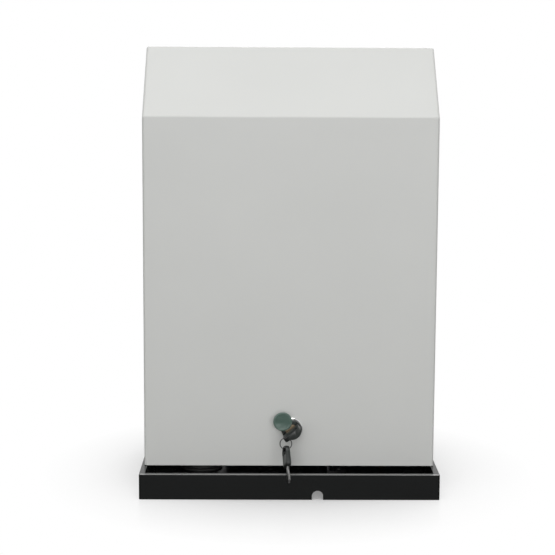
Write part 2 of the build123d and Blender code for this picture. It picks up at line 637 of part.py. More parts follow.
def make_pinion_key():
    """The parallel key between the output shaft and the pinion."""
    low = OUTPUT_Z + SHAFT_RADIUS - 4
    return block((OUTPUT_X - 4, OUTPUT_X + 4), (PINION_FRONT_Y + 3, SHAFT_REAR_Y - 3), (low, low + 7))


def make_pinion_screw():
    """The end screw and washer that keep the pinion on its shaft."""
    centre = (OUTPUT_X, OUTPUT_Z)
    washer = drum("Y", centre, 16, SHAFT_REAR_Y, SHAFT_REAR_Y + 3)
    return washer + hexagon(True, centre, 13, SHAFT_REAR_Y + 3, SHAFT_REAR_Y + 8) \
        + drum("Y", centre, 3.4, SHAFT_REAR_Y - 18, SHAFT_REAR_Y + 1)


def make_rotor_shaft():
    """The motor's shaft with the worm cut on its lower end, running in three bearings."""
    centre = (MOTOR_X, MOTOR_Y)
    root = WORM_PITCH_RADIUS - 1.25 * GEAR_MODULE
    body = drum("Z", centre, 7.5, 38, 52) + drum("Z", centre, root, 50, 128)
    body += drum("Z", centre, UPPER_BEARING_BORE, UPPER_BEARING_Z - 3, STACK_BOTTOM_Z - 6)
    body += drum("Z", centre, 9, STACK_BOTTOM_Z - 7, MOTOR_CASE_TOP_Z)
    body += drum("Z", centre, 7.5, MOTOR_CASE_TOP_Z, COWL_TOP_Z - 14)
    half_root = WORM_PITCH / 4 - MESH_BACKLASH / 2 + 1.25 * GEAR_MODULE * tan(radians(PRESSURE_ANGLE))
    half_tip = WORM_PITCH / 4 - MESH_BACKLASH / 2 - GEAR_MODULE * tan(radians(PRESSURE_ANGLE))
    length = WORM_PITCH * WORM_TURNS
    path = Helix(WORM_PITCH, length, WORM_PITCH_RADIUS)
    tip = WORM_PITCH_RADIUS + GEAR_MODULE
    inside = root - 1.0
    edge = half_root + tan(radians(PRESSURE_ANGLE))
    profile = Plane.XZ * make_face(Polyline(
        (inside, -edge), (tip, -half_tip), (tip, half_tip), (inside, edge), close=True))
    thread = sweep(profile, path=path, is_frenet=True)
    start = OUTPUT_Z - WORM_PITCH * (int(WORM_TURNS / 2) + 0.5)
    thread = Pos(*centre, start) * Rot(0, 0, 180) * thread
    return body + thread


def make_rotor_core():
    """The laminated rotor with its end rings."""
    centre = (MOTOR_X, MOTOR_Y)
    core = tube("Z", centre, ROTOR_RADIUS, 9, STACK_BOTTOM_Z, STACK_TOP_Z)
    for low, high in ((STACK_BOTTOM_Z - 6, STACK_BOTTOM_Z), (STACK_TOP_Z, STACK_TOP_Z + 6)):
        core += tube("Z", centre, ROTOR_RADIUS - 1, 16, low, high)
    return core


def make_stator_core():
    """The stator's lamination stack, pressed into the motor case."""
    bore = ROTOR_RADIUS + AIR_GAP
    return tube("Z", (MOTOR_X, MOTOR_Y), STATOR_BORE_RADIUS, bore, STACK_BOTTOM_Z, STACK_TOP_Z)


def make_stator_windings():
    """The two bevelled coil ends above and below the stack."""
    ends = []
    for low, outward in ((STACK_BOTTOM_Z - WINDING_LENGTH, 0), (STACK_TOP_Z, -1)):
        end = low + WINDING_LENGTH
        coil = tube("Z", (MOTOR_X, MOTOR_Y), STATOR_BORE_RADIUS - 2, ROTOR_RADIUS + 4, low, end)
        rims = coil.edges().filter_by(GeomType.CIRCLE).group_by(Axis.Z)
        ends.append(chamfer(rims[outward], 4))
    return ends


def make_motor_case():
    """The extruded motor case with upright cooling fins and four bolt channels."""
    profile = Circle(STATOR_CASE_RADIUS)
    reach = FIN_TIP_RADIUS - STATOR_CASE_RADIUS + 2
    for i in range(FIN_COUNT):
        fin = Pos(STATOR_CASE_RADIUS - 2 + reach / 2, 0) * Rectangle(reach, FIN_THICKNESS)
        profile += Rot(0, 0, 360 / FIN_COUNT * (i + 0.5)) * fin
    for x, y in flange_points():
        profile += Pos(x - MOTOR_X, y - MOTOR_Y) * Circle(6)
    profile -= Circle(STATOR_BORE_RADIUS)
    for x, y in flange_points():
        profile -= Pos(x - MOTOR_X, y - MOTOR_Y) * Circle(2.8)
    return Pos(MOTOR_X, MOTOR_Y, FLANGE_TOP_Z) * extrude(profile, MOTOR_CASE_TOP_Z - FLANGE_TOP_Z)


def make_top_shield():
    """The motor's upper end shield with the upper bearing's seat."""
    centre = (MOTOR_X, MOTOR_Y)
    top = MOTOR_CASE_TOP_Z + SHIELD_THICKNESS
    body = drum("Z", centre, STATOR_CASE_RADIUS + 1, MOTOR_CASE_TOP_Z, top)
    body = chamfer(body.edges().group_by(Axis.Z)[-1], 3)
    for x, y in flange_points():
        body += drum("Z", (x, y), 7, MOTOR_CASE_TOP_Z, top - 4)
    body -= drum("Z", centre, 17.5, MOTOR_CASE_TOP_Z - CUT, MOTOR_CASE_TOP_Z + 10)
    body -= drum("Z", centre, 9, MOTOR_CASE_TOP_Z, top + CUT)
    for x, y in flange_points():
        body -= drum("Z", (x, y), 2.8, MOTOR_CASE_TOP_Z - CUT, top + CUT)
        body -= drum("Z", (x, y), 7.2, top - 4, top + CUT)
    return body


def make_motor_bolts():
    """The four long bolts through the motor case."""
    seat = MOTOR_CASE_TOP_Z + SHIELD_THICKNESS - 4
    return [drum("Z", (x, y), 2.5, FLANGE_TOP_Z - 8, seat) + hexagon(False, (x, y), 8, seat, seat + 3.5)
            for x, y in flange_points()]


def make_cooling_fan():
    """The radial fan on the shaft's top end: hub, back plate and swept blades."""
    centre = (MOTOR_X, MOTOR_Y)
    low = MOTOR_CASE_TOP_Z + SHIELD_THICKNESS + 3
    fan = drum("Z", centre, FAN_RADIUS, low, low + 2) + drum("Z", centre, 13, low, low + 22)
    for i in range(FAN_BLADES):
        blade = Pos(30, 0, low + 10) * Rot(0, 0, 24) * Box(36, 1.8, 18)
        fan += Pos(MOTOR_X, MOTOR_Y, 0) * Rot(0, 0, 360 / FAN_BLADES * i) * blade
    fan = fan & drum("Z", centre, FAN_RADIUS, low, low + 22)
    return fan - drum("Z", centre, 7.5, low - CUT, low + 30)


def make_fan_cowl():
    """The pressed fan cowl over the fan, with an air grille in its top."""
    centre = (MOTOR_X, MOTOR_Y)
    low = MOTOR_CASE_TOP_Z + SHIELD_THICKNESS - 8
    outer = drum("Z", centre, COWL_RADIUS, low, COWL_TOP_Z)
    outer = chamfer(outer.edges().group_by(Axis.Z)[-1], 5)
    inner = drum("Z", centre, COWL_RADIUS - COWL_SHEET, low - CUT, COWL_TOP_Z - COWL_SHEET)
    inner = chamfer(inner.edges().group_by(Axis.Z)[-1], 4.4)
    cowl = outer - inner
    for x, y in flange_points():
        cowl -= drum("Z", (x, y), 7.4, low - CUT, low + 10)
    for ring in range(2):
        inside = 16 + 18 * ring
        slots = tube("Z", centre, inside + 9, inside, COWL_TOP_Z - 4, COWL_TOP_Z + CUT)
        for i in range(2):
            bar = Rot(0, 0, 90 * i) * Box(2 * COWL_RADIUS, 5, 10)
            slots -= Pos(MOTOR_X, MOTOR_Y, COWL_TOP_Z) * bar
        cowl -= slots
    return cowl


def make_cover_form(inset, bottom, bend):
    """The cover's solid outline, drawn inwards by an inset."""
    slope = hypot(COVER_SLOPE_RUN, COVER_TOP_Z - COVER_FOLD_Z)
    sine = (COVER_TOP_Z - COVER_FOLD_Z) / slope
    cosine = COVER_SLOPE_RUN / slope
    front = COVER_FRONT_Y + inset
    rear = COVER_REAR_Y - inset
    top = COVER_TOP_Z - inset
    fold_z = COVER_FOLD_Z - inset * (1 - sine) / cosine
    top_y = COVER_FRONT_Y + COVER_SLOPE_RUN + inset * (1 - cosine) / sine
    outline = Polyline((front, bottom), (front, fold_z), (top_y, top), (rear, top), (rear, bottom), close=True)
    width = COVER_WIDTH - 2 * inset
    form = Pos(-width / 2, 0, 0) * extrude(Plane.YZ * make_face(outline), width)
    if bend <= 0:
        return form
    folds = form.edges().filter_by(Axis.X).group_by(Axis.Z)[1:]
    uprights = [edge for edge in form.edges() if abs(edge.center().X) > width / 2 - 0.1
                and edge.center().Z > bottom + 1]
    return fillet([edge for group in folds for edge in group] + uprights, bend)


def make_cover_shell():
    """The folded cover: front, slope, top, rear and sides, open below and slotted behind the drive."""
    shell = make_cover_form(0, COVER_BOTTOM_Z, COVER_BEND)
    shell -= make_cover_form(COVER_SHEET, COVER_BOTTOM_Z - CUT, COVER_BEND - COVER_SHEET)
    half = REAR_SLOT_WIDTH / 2
    slot = block((OUTPUT_X - half, OUTPUT_X + half), (COVER_REAR_Y - 5, COVER_REAR_Y + CUT),
                 (COVER_BOTTOM_Z - CUT, REAR_SLOT_TOP))
    slot = fillet(slot.edges().filter_by(Axis.Y).group_by(Axis.Z)[-1], REAR_SLOT_ROUND)
    shell -= slot
    shell -= drum("Y", (LOCK_X, LOCK_Z), BARREL_RADIUS, COVER_FRONT_Y - CUT, COVER_FRONT_Y + 4)
    return shell


def make_slot_edging():
    """The rubber edging pressed over the sheet edge of the rear slot."""
    half = REAR_SLOT_WIDTH / 2
    span = (COVER_REAR_Y - COVER_SHEET - 1.5, COVER_REAR_Y + 1.5)
    outer = block((OUTPUT_X - half - EDGING_DEPTH + 3, OUTPUT_X + half + EDGING_DEPTH - 3), span,
                  (COVER_BOTTOM_Z, REAR_SLOT_TOP + EDGING_DEPTH - 3))
    outer = fillet(outer.edges().filter_by(Axis.Y).group_by(Axis.Z)[-1], REAR_SLOT_ROUND + 3)
    inner_half = half - EDGING_THICKNESS
    inner = block((OUTPUT_X - inner_half, OUTPUT_X + inner_half), (span[0] - CUT, span[1] + CUT),
                  (COVER_BOTTOM_Z - CUT, REAR_SLOT_TOP - EDGING_THICKNESS))
    inner = fillet(inner.edges().filter_by(Axis.Y).group_by(Axis.Z)[-1], REAR_SLOT_ROUND - 3)
    sheet = block((OUTPUT_X - 2 * half, OUTPUT_X + 2 * half), (COVER_REAR_Y - COVER_SHEET, COVER_REAR_Y),
                  (COVER_BOTTOM_Z - CUT, 2 * REAR_SLOT_TOP))
    slot = block((OUTPUT_X - half, OUTPUT_X + half), (COVER_REAR_Y - 5, COVER_REAR_Y + CUT),
                 (COVER_BOTTOM_Z - 2 * CUT, REAR_SLOT_TOP))
    slot = fillet(slot.edges().filter_by(Axis.Y).group_by(Axis.Z)[-1], REAR_SLOT_ROUND)
    return outer - inner - (sheet - slot)


def make_lock_barrel():
    """The lock's body: round head in front of the cover, threaded barrel behind, bored for the core."""
    centre = (LOCK_X, LOCK_Z)
    body = drum("Y", centre, LOCK_HEAD_RADIUS, HEAD_FACE_Y, COVER_FRONT_Y - ROSETTE_HEIGHT)
    body = chamfer(body.edges().group_by(Axis.Y)[0], 0.7)
    end = COVER_FRONT_Y + BARREL_LENGTH
    body += drum("Y", centre, BARREL_RADIUS, COVER_FRONT_Y - ROSETTE_HEIGHT - CUT, end)
    body -= drum("Y", centre, CORE_RADIUS, HEAD_FACE_Y - CUT, COVER_FRONT_Y + BARREL_LENGTH + CUT)
    body -= drum("Y", (CAP_X, CAP_Z), CAP_PIN_RADIUS, HEAD_FACE_Y - CUT, HEAD_FACE_Y + 4)
    return body


def make_lock_rosette():
    """The bright ring between the lock's head and the cover."""
    ring = tube("Y", (LOCK_X, LOCK_Z), ROSETTE_RADIUS, BARREL_RADIUS,
                COVER_FRONT_Y - ROSETTE_HEIGHT, COVER_FRONT_Y)
    rim = ring.edges().filter_by(GeomType.CIRCLE).group_by(Axis.Y)[0].sort_by(SortBy.LENGTH)[-1]
    return chamfer(rim, 1.2)


def make_lock_nut():
    """The thin nut that clamps the lock to the cover from inside."""
    start = COVER_FRONT_Y + COVER_SHEET
    nut = hexagon(True, (LOCK_X, LOCK_Z), 2 * LOCK_NUT_RADIUS, start, start + LOCK_NUT_HEIGHT)
    return nut - drum("Y", (LOCK_X, LOCK_Z), BARREL_RADIUS, start - CUT, start + 2 * LOCK_NUT_HEIGHT)


def key_frame():
    """The place of the inserted key: its width lies along local X, the key's axis along local Y."""
    return Pos(LOCK_X, 0, LOCK_Z) * Rot(0, -KEY_ANGLE, 0)


def make_lock_core():
    """The turning core with its keyway, and the square end that carries the cam."""
    centre = (LOCK_X, LOCK_Z)
    end = COVER_FRONT_Y + BARREL_LENGTH
    core = drum("Y", centre, CORE_RADIUS - RUNNING_FIT, HEAD_FACE_Y + 0.4, end + LOCK_GAP)
    stub = block((-3.5, 3.5), (end, end + LOCK_GAP + CAM_THICKNESS), (-3.5, 3.5))
    core += Pos(LOCK_X, 0, LOCK_Z) * stub
    half_w = BLADE_WIDTH / 2 + BLADE_GAP
    half_t = BLADE_THICKNESS / 2 + BLADE_GAP
    keyway = block((-half_w, half_w), (HEAD_FACE_Y - CUT, BOW_START_Y + BLADE_LENGTH + 1), (-half_t, half_t))
    return core - key_frame() * keyway


def make_lock_cam():
    """The flat steel cam, hanging down in its unlocked place, and its screw."""
    profile = SlotOverall(CAM_LENGTH + CAM_WIDTH / 2, CAM_WIDTH, rotation=90)
    plate = Pos(0, -(CAM_LENGTH - CAM_WIDTH / 2) / 2, 0) * extrude(profile, CAM_THICKNESS)
    plate = Pos(LOCK_X, CAM_Y + CAM_THICKNESS, LOCK_Z) * Rot(90, 0, 0) * plate
    return plate - Pos(LOCK_X, 0, LOCK_Z) * block((-3.5, 3.5), (CAM_Y - CUT, CAM_Y + 4), (-3.5, 3.5))


def make_cam_screw():
    """The screw and washer that hold the cam on the core."""
    start = CAM_Y + CAM_THICKNESS
    return drum("Y", (LOCK_X, LOCK_Z), 5.6, start, start + 0.8) \
        + hexagon(True, (LOCK_X, LOCK_Z), 7, start + 0.8, start + 3.4)


def make_dust_cap():
    """The round dust cap, swung aside on its pin, with a dished face and a finger lip."""
    back = HEAD_FACE_Y - LOCK_GAP
    front = back - CAP_THICKNESS
    disc = drum("Y", (LOCK_X, LOCK_Z), CAP_RADIUS, front, back)
    disc = chamfer(disc.edges().group_by(Axis.Y)[0], 0.5)
    disc -= drum("Y", (LOCK_X, LOCK_Z), CAP_RADIUS - 2.2, front - CUT, front + 0.3)
    disc -= drum("Y", (CAP_X, CAP_Z), CAP_PIN_RADIUS + RUNNING_FIT, front - CUT, back + CUT)
    swing = Pos(CAP_X, 0, CAP_Z) * Rot(0, CAP_OPEN_ANGLE, 0) * Pos(-CAP_X, 0, -CAP_Z)
    return swing * disc


def make_cap_pin():
    """The rivet that the dust cap swings on."""
    back = HEAD_FACE_Y - LOCK_GAP
    head_front = back - CAP_THICKNESS - 0.5
    pin = drum("Y", (CAP_X, CAP_Z), CAP_PIN_RADIUS, head_front, HEAD_FACE_Y + 3.5)
    return pin


def bow_solid(start):
    """A key's moulded bow along -Y from a start value: rounded plate, thin web and the ring's slot."""
    low, high = start - BOW_LENGTH, start
    half = BOW_WIDTH / 2
    plate = block((-half, half), (low, high), (-BOW_THICKNESS / 2, BOW_THICKNESS / 2))
    corners = plate.edges().filter_by(Axis.Z)
    plate = fillet(corners.group_by(Axis.Y)[0], BOW_CORNER)
    plate = fillet(plate.edges().filter_by(Axis.Z).group_by(Axis.Y)[-1], 3)
    slot_y = low + BOW_HOLE_INSET
    recess = SlotOverall(BOW_WIDTH - 2.0, BOW_HOLE_HEIGHT + 2.2)
    hole = SlotOverall(BOW_HOLE, BOW_HOLE_HEIGHT)
    for side in (-1, 1):
        face = side * BOW_WEB / 2
        depth = side * (BOW_THICKNESS - BOW_WEB)
        plate -= Pos(0, slot_y + 0.5, face) * extrude(recess, depth)
    plate -= Pos(0, slot_y, -BOW_THICKNESS) * extrude(hole, 2 * BOW_THICKNESS)
    return plate


def blade_solid(start):
    """A key's blade along +Y from a start value: ground tip, cut bitting and a side groove."""
    half_w, half_t = BLADE_WIDTH / 2, BLADE_THICKNESS / 2
    end = start + BLADE_LENGTH
    corners = [(-half_w, start), (half_w, start), (half_w, end - 3), (half_w - 2.4, end), (-half_w, end - 3.6)]
    cuts = 4
    pitch = (BLADE_LENGTH - 5) / cuts
    for i in range(cuts):
        place = end - 3.6 - pitch * (i + 0.5)
        depth = 0.7 + 0.5 * (i % 2)
        corners += [(-half_w + depth, place + 0.5), (-half_w + depth, place - 0.5)]
        if i < cuts - 1:
            corners.append((-half_w, place - pitch / 2))
    blade = Pos(0, 0, -half_t) * extrude(make_face(Polyline(*corners, close=True)), BLADE_THICKNESS)
    blade -= block((0.4, 1.8), (start - CUT, end + CUT), (half_t - 0.5, half_t + CUT))
    return blade


def make_key_bow():
    """The moulded bow of the key in the lock."""
    return key_frame() * bow_solid(BOW_START_Y)


def make_key_blade():
    """The blade of the key in the lock."""
    return key_frame() * blade_solid(BOW_START_Y)


def ring_hang_point():
    """The upper edge of the inserted bow's hole, on which the ring hangs, as X and Z."""
    turn = radians(KEY_ANGLE)
    along, above = BOW_HOLE / 2, BOW_WEB / 2
    return (LOCK_X - along * cos(turn) - above * sin(turn), LOCK_Z - along * sin(turn) + above * cos(turn))


def ring_centre():
    """The ring's centre, below its hanging point."""
    x, z = ring_hang_point()
    return x, RING_Y, z - RING_RADIUS + RING_WIRE + RING_GAP


def make_key_ring():
    """The wire ring that joins the two keys."""
    section = Plane.XZ * Pos(RING_RADIUS, 0) * RegularPolygon(RING_WIRE, 8)
    return Pos(*ring_centre()) * Rot(90, 0, 0) * revolve(section, Axis.Z)


def spare_frame():
    """The place of the hanging key: local Y runs from its bow to its tip, local X is its width."""
    x, y, z = ring_centre()
    contact = z - RING_RADIUS
    return Pos(x, y, contact) * Rot(0, 0, SPARE_YAW) * Rot(-SPARE_TILT, 0, 0) * Rot(-90, 0, 0) \
        * Rot(0, 90, 0) * Pos(0, -SPARE_HOLE, 0)


def make_spare_bow():
    """The bow of the second key, which hangs from the ring."""
    return spare_frame() * bow_solid(0)


def make_spare_blade():
    """The blade of the second key."""
    return spare_frame() * blade_solid(0)


def make_release_lever():
    """The hand lever that disengages the clutch: spindle, hub, arm and grip."""
    centre = (OUTPUT_X, OUTPUT_Z)
    front = LEVER_FACE_Y - LOCK_GAP
    lever = drum("Y", centre, 6, front, SHAFT_FRONT_Y - 1)
    lever += drum("Y", centre, 12, front - 7, front)
    arm = block((OUTPUT_X - 50, OUTPUT_X), (front - 6, front - 1), (OUTPUT_Z - 5, OUTPUT_Z + 5))
    lever += fillet(arm.edges().filter_by(Axis.Y), 3)
    grip = drum("Y", (OUTPUT_X - 46, OUTPUT_Z), 9, front - 8, front)
    return lever + chamfer(grip.edges().filter_by(GeomType.CIRCLE), 1.2)


def make_electronics_panel():
    """The folded steel panel that carries the control board, with two legs and their feet."""
    plate = block(PANEL_X, (PANEL_FRONT_Y, PANEL_BACK_Y), PANEL_Z)
    plate = fillet(plate.edges().filter_by(Axis.Y), PANEL_CORNER)
    lip = block((PANEL_X[0] + PANEL_CORNER, PANEL_X[1] - PANEL_CORNER), (PANEL_FRONT_Y, PANEL_BACK_Y + 8),
                (PANEL_Z[1] - PANEL_THICKNESS, PANEL_Z[1]))
    panel = plate + (lip - block((MOTOR_X - 66, MOTOR_X + 66), (MOTOR_Y - 66, MOTOR_Y), PANEL_Z))
    for x, y in panel_foot_points():
        half = PANEL_LEG_WIDTH / 2
        panel += block((x - half, x + half), (PANEL_FRONT_Y, PANEL_BACK_Y), (WEB_TOP, PANEL_Z[0] + 12))
        thick = (WEB_TOP, WEB_TOP + PANEL_THICKNESS)
        foot = block((x - half, x + half), (PANEL_FRONT_Y, PANEL_BACK_Y + 18), thick)
        panel += foot - drum("Z", (x, y), 2.1, WEB_TOP - CUT, WEB_TOP + 4)
    for x, z in board_points():
        panel -= drum("Y", (x, z), 1.6, PANEL_FRONT_Y - CUT, PANEL_BACK_Y + CUT)
    return panel


def make_board_standoffs():
    """The four spacers and screws between the panel and the board."""
    return [hexagon(True, (x, z), 6, BOARD_BACK_Y, PANEL_FRONT_Y)
            + drum("Y", (x, z), 2.8, BOARD_FRONT_Y - 2, BOARD_FRONT_Y)
            + drum("Y", (x, z), 1.5, BOARD_FRONT_Y - 0.5, PANEL_BACK_Y) for x, z in board_points()]


def board_span():
    """The control board's left, right, bottom and top."""
    return (PANEL_X[0] + BOARD_MARGIN, PANEL_X[1] - BOARD_MARGIN,
            PANEL_Z[0] + BOARD_MARGIN, PANEL_Z[1] - BOARD_MARGIN)


def make_control_board():
    """The control circuit board."""
    left, right, low, high = board_span()
    board = block((left, right), (BOARD_FRONT_Y, BOARD_BACK_Y), (low, high))
    for x, z in board_points():
        board -= drum("Y", (x, z), 1.6, BOARD_FRONT_Y - CUT, BOARD_BACK_Y + CUT)
    return board


def make_board_transformer():
    """The encapsulated transformer on the board."""
    left, right, low, high = board_span()
    across = (left + TRANSFORMER_LEFT, left + TRANSFORMER_LEFT + TRANSFORMER_WIDTH)
    tall = (high - TRANSFORMER_BOTTOM, high - RELAY_TOP)
    body = block(across, (BOARD_FRONT_Y - 17, BOARD_FRONT_Y), tall)
    return fillet(body.edges().group_by(Axis.Y)[0], 2)


def make_board_relays():
    """The four relays beside the transformer."""
    left, right, low, high = board_span()
    relays = []
    first = left + TRANSFORMER_LEFT + TRANSFORMER_WIDTH + 12
    pitch = (right - first - 4) / 4
    for i in range(4):
        x = first + pitch * i
        tall = (high - RELAY_BOTTOM, high - RELAY_TOP)
        relay = block((x, x + pitch - 5), (BOARD_FRONT_Y - 15, BOARD_FRONT_Y), tall)
        relays.append(fillet(relay.edges().group_by(Axis.Y)[0], 1))
    return relays


def make_board_processor():
    """The processor with its pins, and two small chips."""
    left, right, low, high = board_span()
    middle = (left + right) / 2
    under_relays = (low + TERMINAL_TOP + high - RELAY_BOTTOM) / 2
    under_transformer = low + TERMINAL_TOP + (high - TRANSFORMER_BOTTOM - low - TERMINAL_TOP) * 0.6
    chips = []
    places = (
        (middle, under_relays + 4, 16),
        (middle + 38, under_relays, 9),
        (middle - 40, under_transformer, 9),
    )
    for x, z, size in places:
        chips.append(block((x - size / 2, x + size / 2), (BOARD_FRONT_Y - 2.4, BOARD_FRONT_Y),
                           (z - size / 2, z + size / 2)))
    return chips


def make_terminal_blocks():
    """The row of pluggable terminal blocks along the board's lower edge."""
    left, right, low, high = board_span()
    blocks = []
    pitch = (right - left - TERMINAL_MARGIN - 10) / 4
    width = pitch - 2
    for i in range(4):
        x = left + TERMINAL_MARGIN + pitch * i
        body = block((x, x + width), (BOARD_FRONT_Y - 13, BOARD_FRONT_Y), (low + 4, low + TERMINAL_TOP))
        body = chamfer(body.edges().filter_by(Axis.X).group_by(Axis.Y)[0].sort_by(Axis.Z)[-1], 4)
        for j in range(5):
            place = x + 5 + (width - 10) / 4 * j
            body -= drum("Y", (place, low + 8), 1.8, BOARD_FRONT_Y - 14, BOARD_FRONT_Y - 9)
        blocks.append(body)
    return blocks


def make_run_capacitor():
    """The motor's run capacitor, upright behind the panel, with two terminal tabs."""
    centre = (CAPACITOR_X, PANEL_BACK_Y + 3 + CAPACITOR_RADIUS)
    can = drum("Z", centre, CAPACITOR_RADIUS, CAPACITOR_Z, CAPACITOR_Z + CAPACITOR_HEIGHT)
    can = chamfer(can.edges().filter_by(GeomType.CIRCLE), 1.5)
    for side in (-1, 1):
        x = centre[0] + 7 * side
        can += block((x - 0.4, x + 0.4), (centre[1] - 3, centre[1] + 3),
                     (CAPACITOR_Z + CAPACITOR_HEIGHT - 1, CAPACITOR_Z + CAPACITOR_HEIGHT + 9))
    return can


def make_capacitor_clip():
    """The two spring-steel clips that hold the capacitor to the panel."""
    centre = (CAPACITOR_X, PANEL_BACK_Y + 3 + CAPACITOR_RADIUS)
    clips = []
    for low in (CAPACITOR_Z + 18, CAPACITOR_Z + 62):
        band = tube("Z", centre, CAPACITOR_RADIUS + 1.2, CAPACITOR_RADIUS, low, low + 12)
        mouth = block((centre[0] - 11, centre[0] + 11), (centre[1], centre[1] + 30), (low - CUT, low + 13))
        seat = block((centre[0] - 9, centre[0] + 9), (PANEL_BACK_Y, PANEL_BACK_Y + 2.4), (low, low + 12))
        clips.append(band - mouth + seat)
    return clips


def make_switch_bracket():
    """The saddle that seats the limit switch box on the gearbox neck."""
    half = SWITCH_BOX_WIDTH / 2
    body = block((OUTPUT_X - half, OUTPUT_X + half), (GEARCASE_REAR_Y + 12, NECK_END_Y - 4),
                 (OUTPUT_Z + 14, SWITCH_BOX_Z))
    return body - drum("Y", (OUTPUT_X, OUTPUT_Z), NECK_RADIUS, GEARCASE_REAR_Y, NECK_END_Y + CUT) \
        - Pos(OUTPUT_X, 0, OUTPUT_Z) * neck_ribs()


def neck_ribs():
    """The clearance over the gearbox's rear ribs."""
    room = block((0, GEARCASE_RADIUS), (GEARCASE_REAR_Y, GEARCASE_REAR_Y + 20.5), (-3, 3))
    return Rot(0, -60, 0) * room + Rot(0, -120, 0) * room


def make_switch_box():
    """The limit switch box behind the cover's rear slot, with its raised lid."""
    half = SWITCH_BOX_WIDTH / 2
    start = GEARCASE_REAR_Y + 21
    body = block((OUTPUT_X - half, OUTPUT_X + half), (start, SWITCH_BOX_END_Y),
                 (SWITCH_BOX_Z, SWITCH_BOX_Z + SWITCH_BOX_HEIGHT))
    body = fillet(body.edges().filter_by(Axis.Y), 5)
    body += fillet(block((OUTPUT_X - half + 4, OUTPUT_X + half - 4), (SWITCH_BOX_END_Y - CUT, SWITCH_BOX_END_Y + 2),
                         (SWITCH_BOX_Z + 4, SWITCH_BOX_Z + SWITCH_BOX_HEIGHT - 4)).edges().filter_by(Axis.Y), 3)
    return body - drum("Y", (OUTPUT_X, WAND_PIVOT_Z), 3 + RUNNING_FIT, SWITCH_BOX_END_Y - 12, SWITCH_BOX_END_Y + 4)


def make_limit_wand():
    """The sprung wand that the gate's strikers push aside: shaft, boss, wire and roller."""
    face = SWITCH_BOX_END_Y + 2 + LOCK_GAP
    pivot = (OUTPUT_X, WAND_PIVOT_Z)
    wand = drum("Y", pivot, 3, SWITCH_BOX_END_Y - 11, face + 1)
    wand += drum("Y", pivot, 6, face, face + 7)
    top = WAND_PIVOT_Z + WAND_LENGTH
    wand += drum("Z", (OUTPUT_X, face + 3.5), WAND_RADIUS, WAND_PIVOT_Z, top)
    roller = drum("Y", (OUTPUT_X, top), 5, face, face + 7)
    return wand + chamfer(roller.edges().filter_by(GeomType.CIRCLE), 1)


def make_worm_bearings():
    """The two bearings that carry the worm in the gearbox."""
    worm = (MOTOR_X, MOTOR_Y)
    lower_end = LOWER_BEARING_Z + LOWER_BEARING_WIDTH
    upper_end = UPPER_BEARING_Z + LARGE_BEARING_WIDTH
    return [
        bearing("Z", worm, SMALL_BEARING_BORE, SMALL_BEARING_RADIUS, LOWER_BEARING_Z, lower_end),
        bearing("Z", worm, UPPER_BEARING_BORE, LARGE_BEARING_RADIUS, UPPER_BEARING_Z, upper_end),
    ]


def make_parts():
    """Every node by its name."""
    wheel = (OUTPUT_X, OUTPUT_Z)
    worm = (MOTOR_X, MOTOR_Y)
    return {
        "base_frame": make_base_frame(),
        "cable_grommet": make_cable_grommet(),
        "strike_bracket": make_strike_bracket(),
        "bracket_screws": make_bracket_screws(),
        "gearbox_housing": make_gearbox_housing(),
        "gearbox_gasket": make_gearbox_gasket(),
        "gearbox_lid": make_gearbox_lid(),
        "lid_screws": make_lid_screws(),
        "gearbox_bolts": make_gearbox_bolts(),
        "oil_plug": make_oil_plug(),
        "front_bearing": bearing("Y", wheel, SHAFT_FRONT_RADIUS, LARGE_BEARING_RADIUS, SHAFT_FRONT_Y,
                                 SHAFT_FRONT_Y + LARGE_BEARING_WIDTH),
        "rear_bearing": bearing("Y", wheel, SHAFT_RADIUS, 26, NECK_END_Y - 23, NECK_END_Y - 8),
        "output_seal": tube("Y", wheel, 20, SHAFT_RADIUS + RUNNING_FIT, NECK_END_Y - 7.5, NECK_END_Y - 0.5),
        "worm_bearings": make_worm_bearings(),
        "motor_top_bearing": bearing("Z", worm, SMALL_BEARING_BORE, SMALL_BEARING_RADIUS, MOTOR_CASE_TOP_Z,
                                     MOTOR_CASE_TOP_Z + 10),
        "motor_case": make_motor_case(),
        "stator_core": make_stator_core(),
        "stator_windings": make_stator_windings(),
        "motor_top_shield": make_top_shield(),
        "motor_bolts": make_motor_bolts(),
        "fan_cowl": make_fan_cowl(),
        "electronics_panel": make_electronics_panel(),
        "board_standoffs": make_board_standoffs(),
        "control_board": make_control_board(),
        "board_transformer": make_board_transformer(),
        "board_relays": make_board_relays(),
        "board_processor": make_board_processor(),
        "terminal_blocks": make_terminal_blocks(),
        "run_capacitor": make_run_capacitor(),
        "capacitor_clips": make_capacitor_clip(),
        "switch_bracket": make_switch_bracket(),
        "limit_switch_box": make_switch_box(),
        "cover_shell": make_cover_shell(),
        "slot_edging": make_slot_edging(),
        "lock_barrel": make_lock_barrel(),
        "lock_rosette": make_lock_rosette(),
        "lock_nut": make_lock_nut(),
        "cap_pin": make_cap_pin(),
        "dust_cap": make_dust_cap(),
        "lock_core": make_lock_core(),
        "lock_cam": make_lock_cam(),
        "cam_screw": make_cam_screw(),
        "key_bow": make_key_bow(),
        "key_blade": make_key_blade(),
        "key_ring": make_key_ring(),
        "spare_key_bow": make_spare_bow(),
        "spare_key_blade": make_spare_blade(),
        "output_shaft": make_output_shaft(),
        "worm_wheel": make_worm_wheel(),
        "wheel_hub": make_wheel_hub(),
        "drive_pinion": make_drive_pinion(),
        "pinion_key": make_pinion_key(),
        "pinion_screw": make_pinion_screw(),
        "clutch_ring": make_clutch_ring(),
        "push_rod": make_push_rod(),
        "rotor_shaft": make_rotor_shaft(),
        "rotor_core": make_rotor_core(),
        "cooling_fan": make_cooling_fan(),
        "release_lever": make_release_lever(),
        "limit_wand": make_limit_wand(),
    }


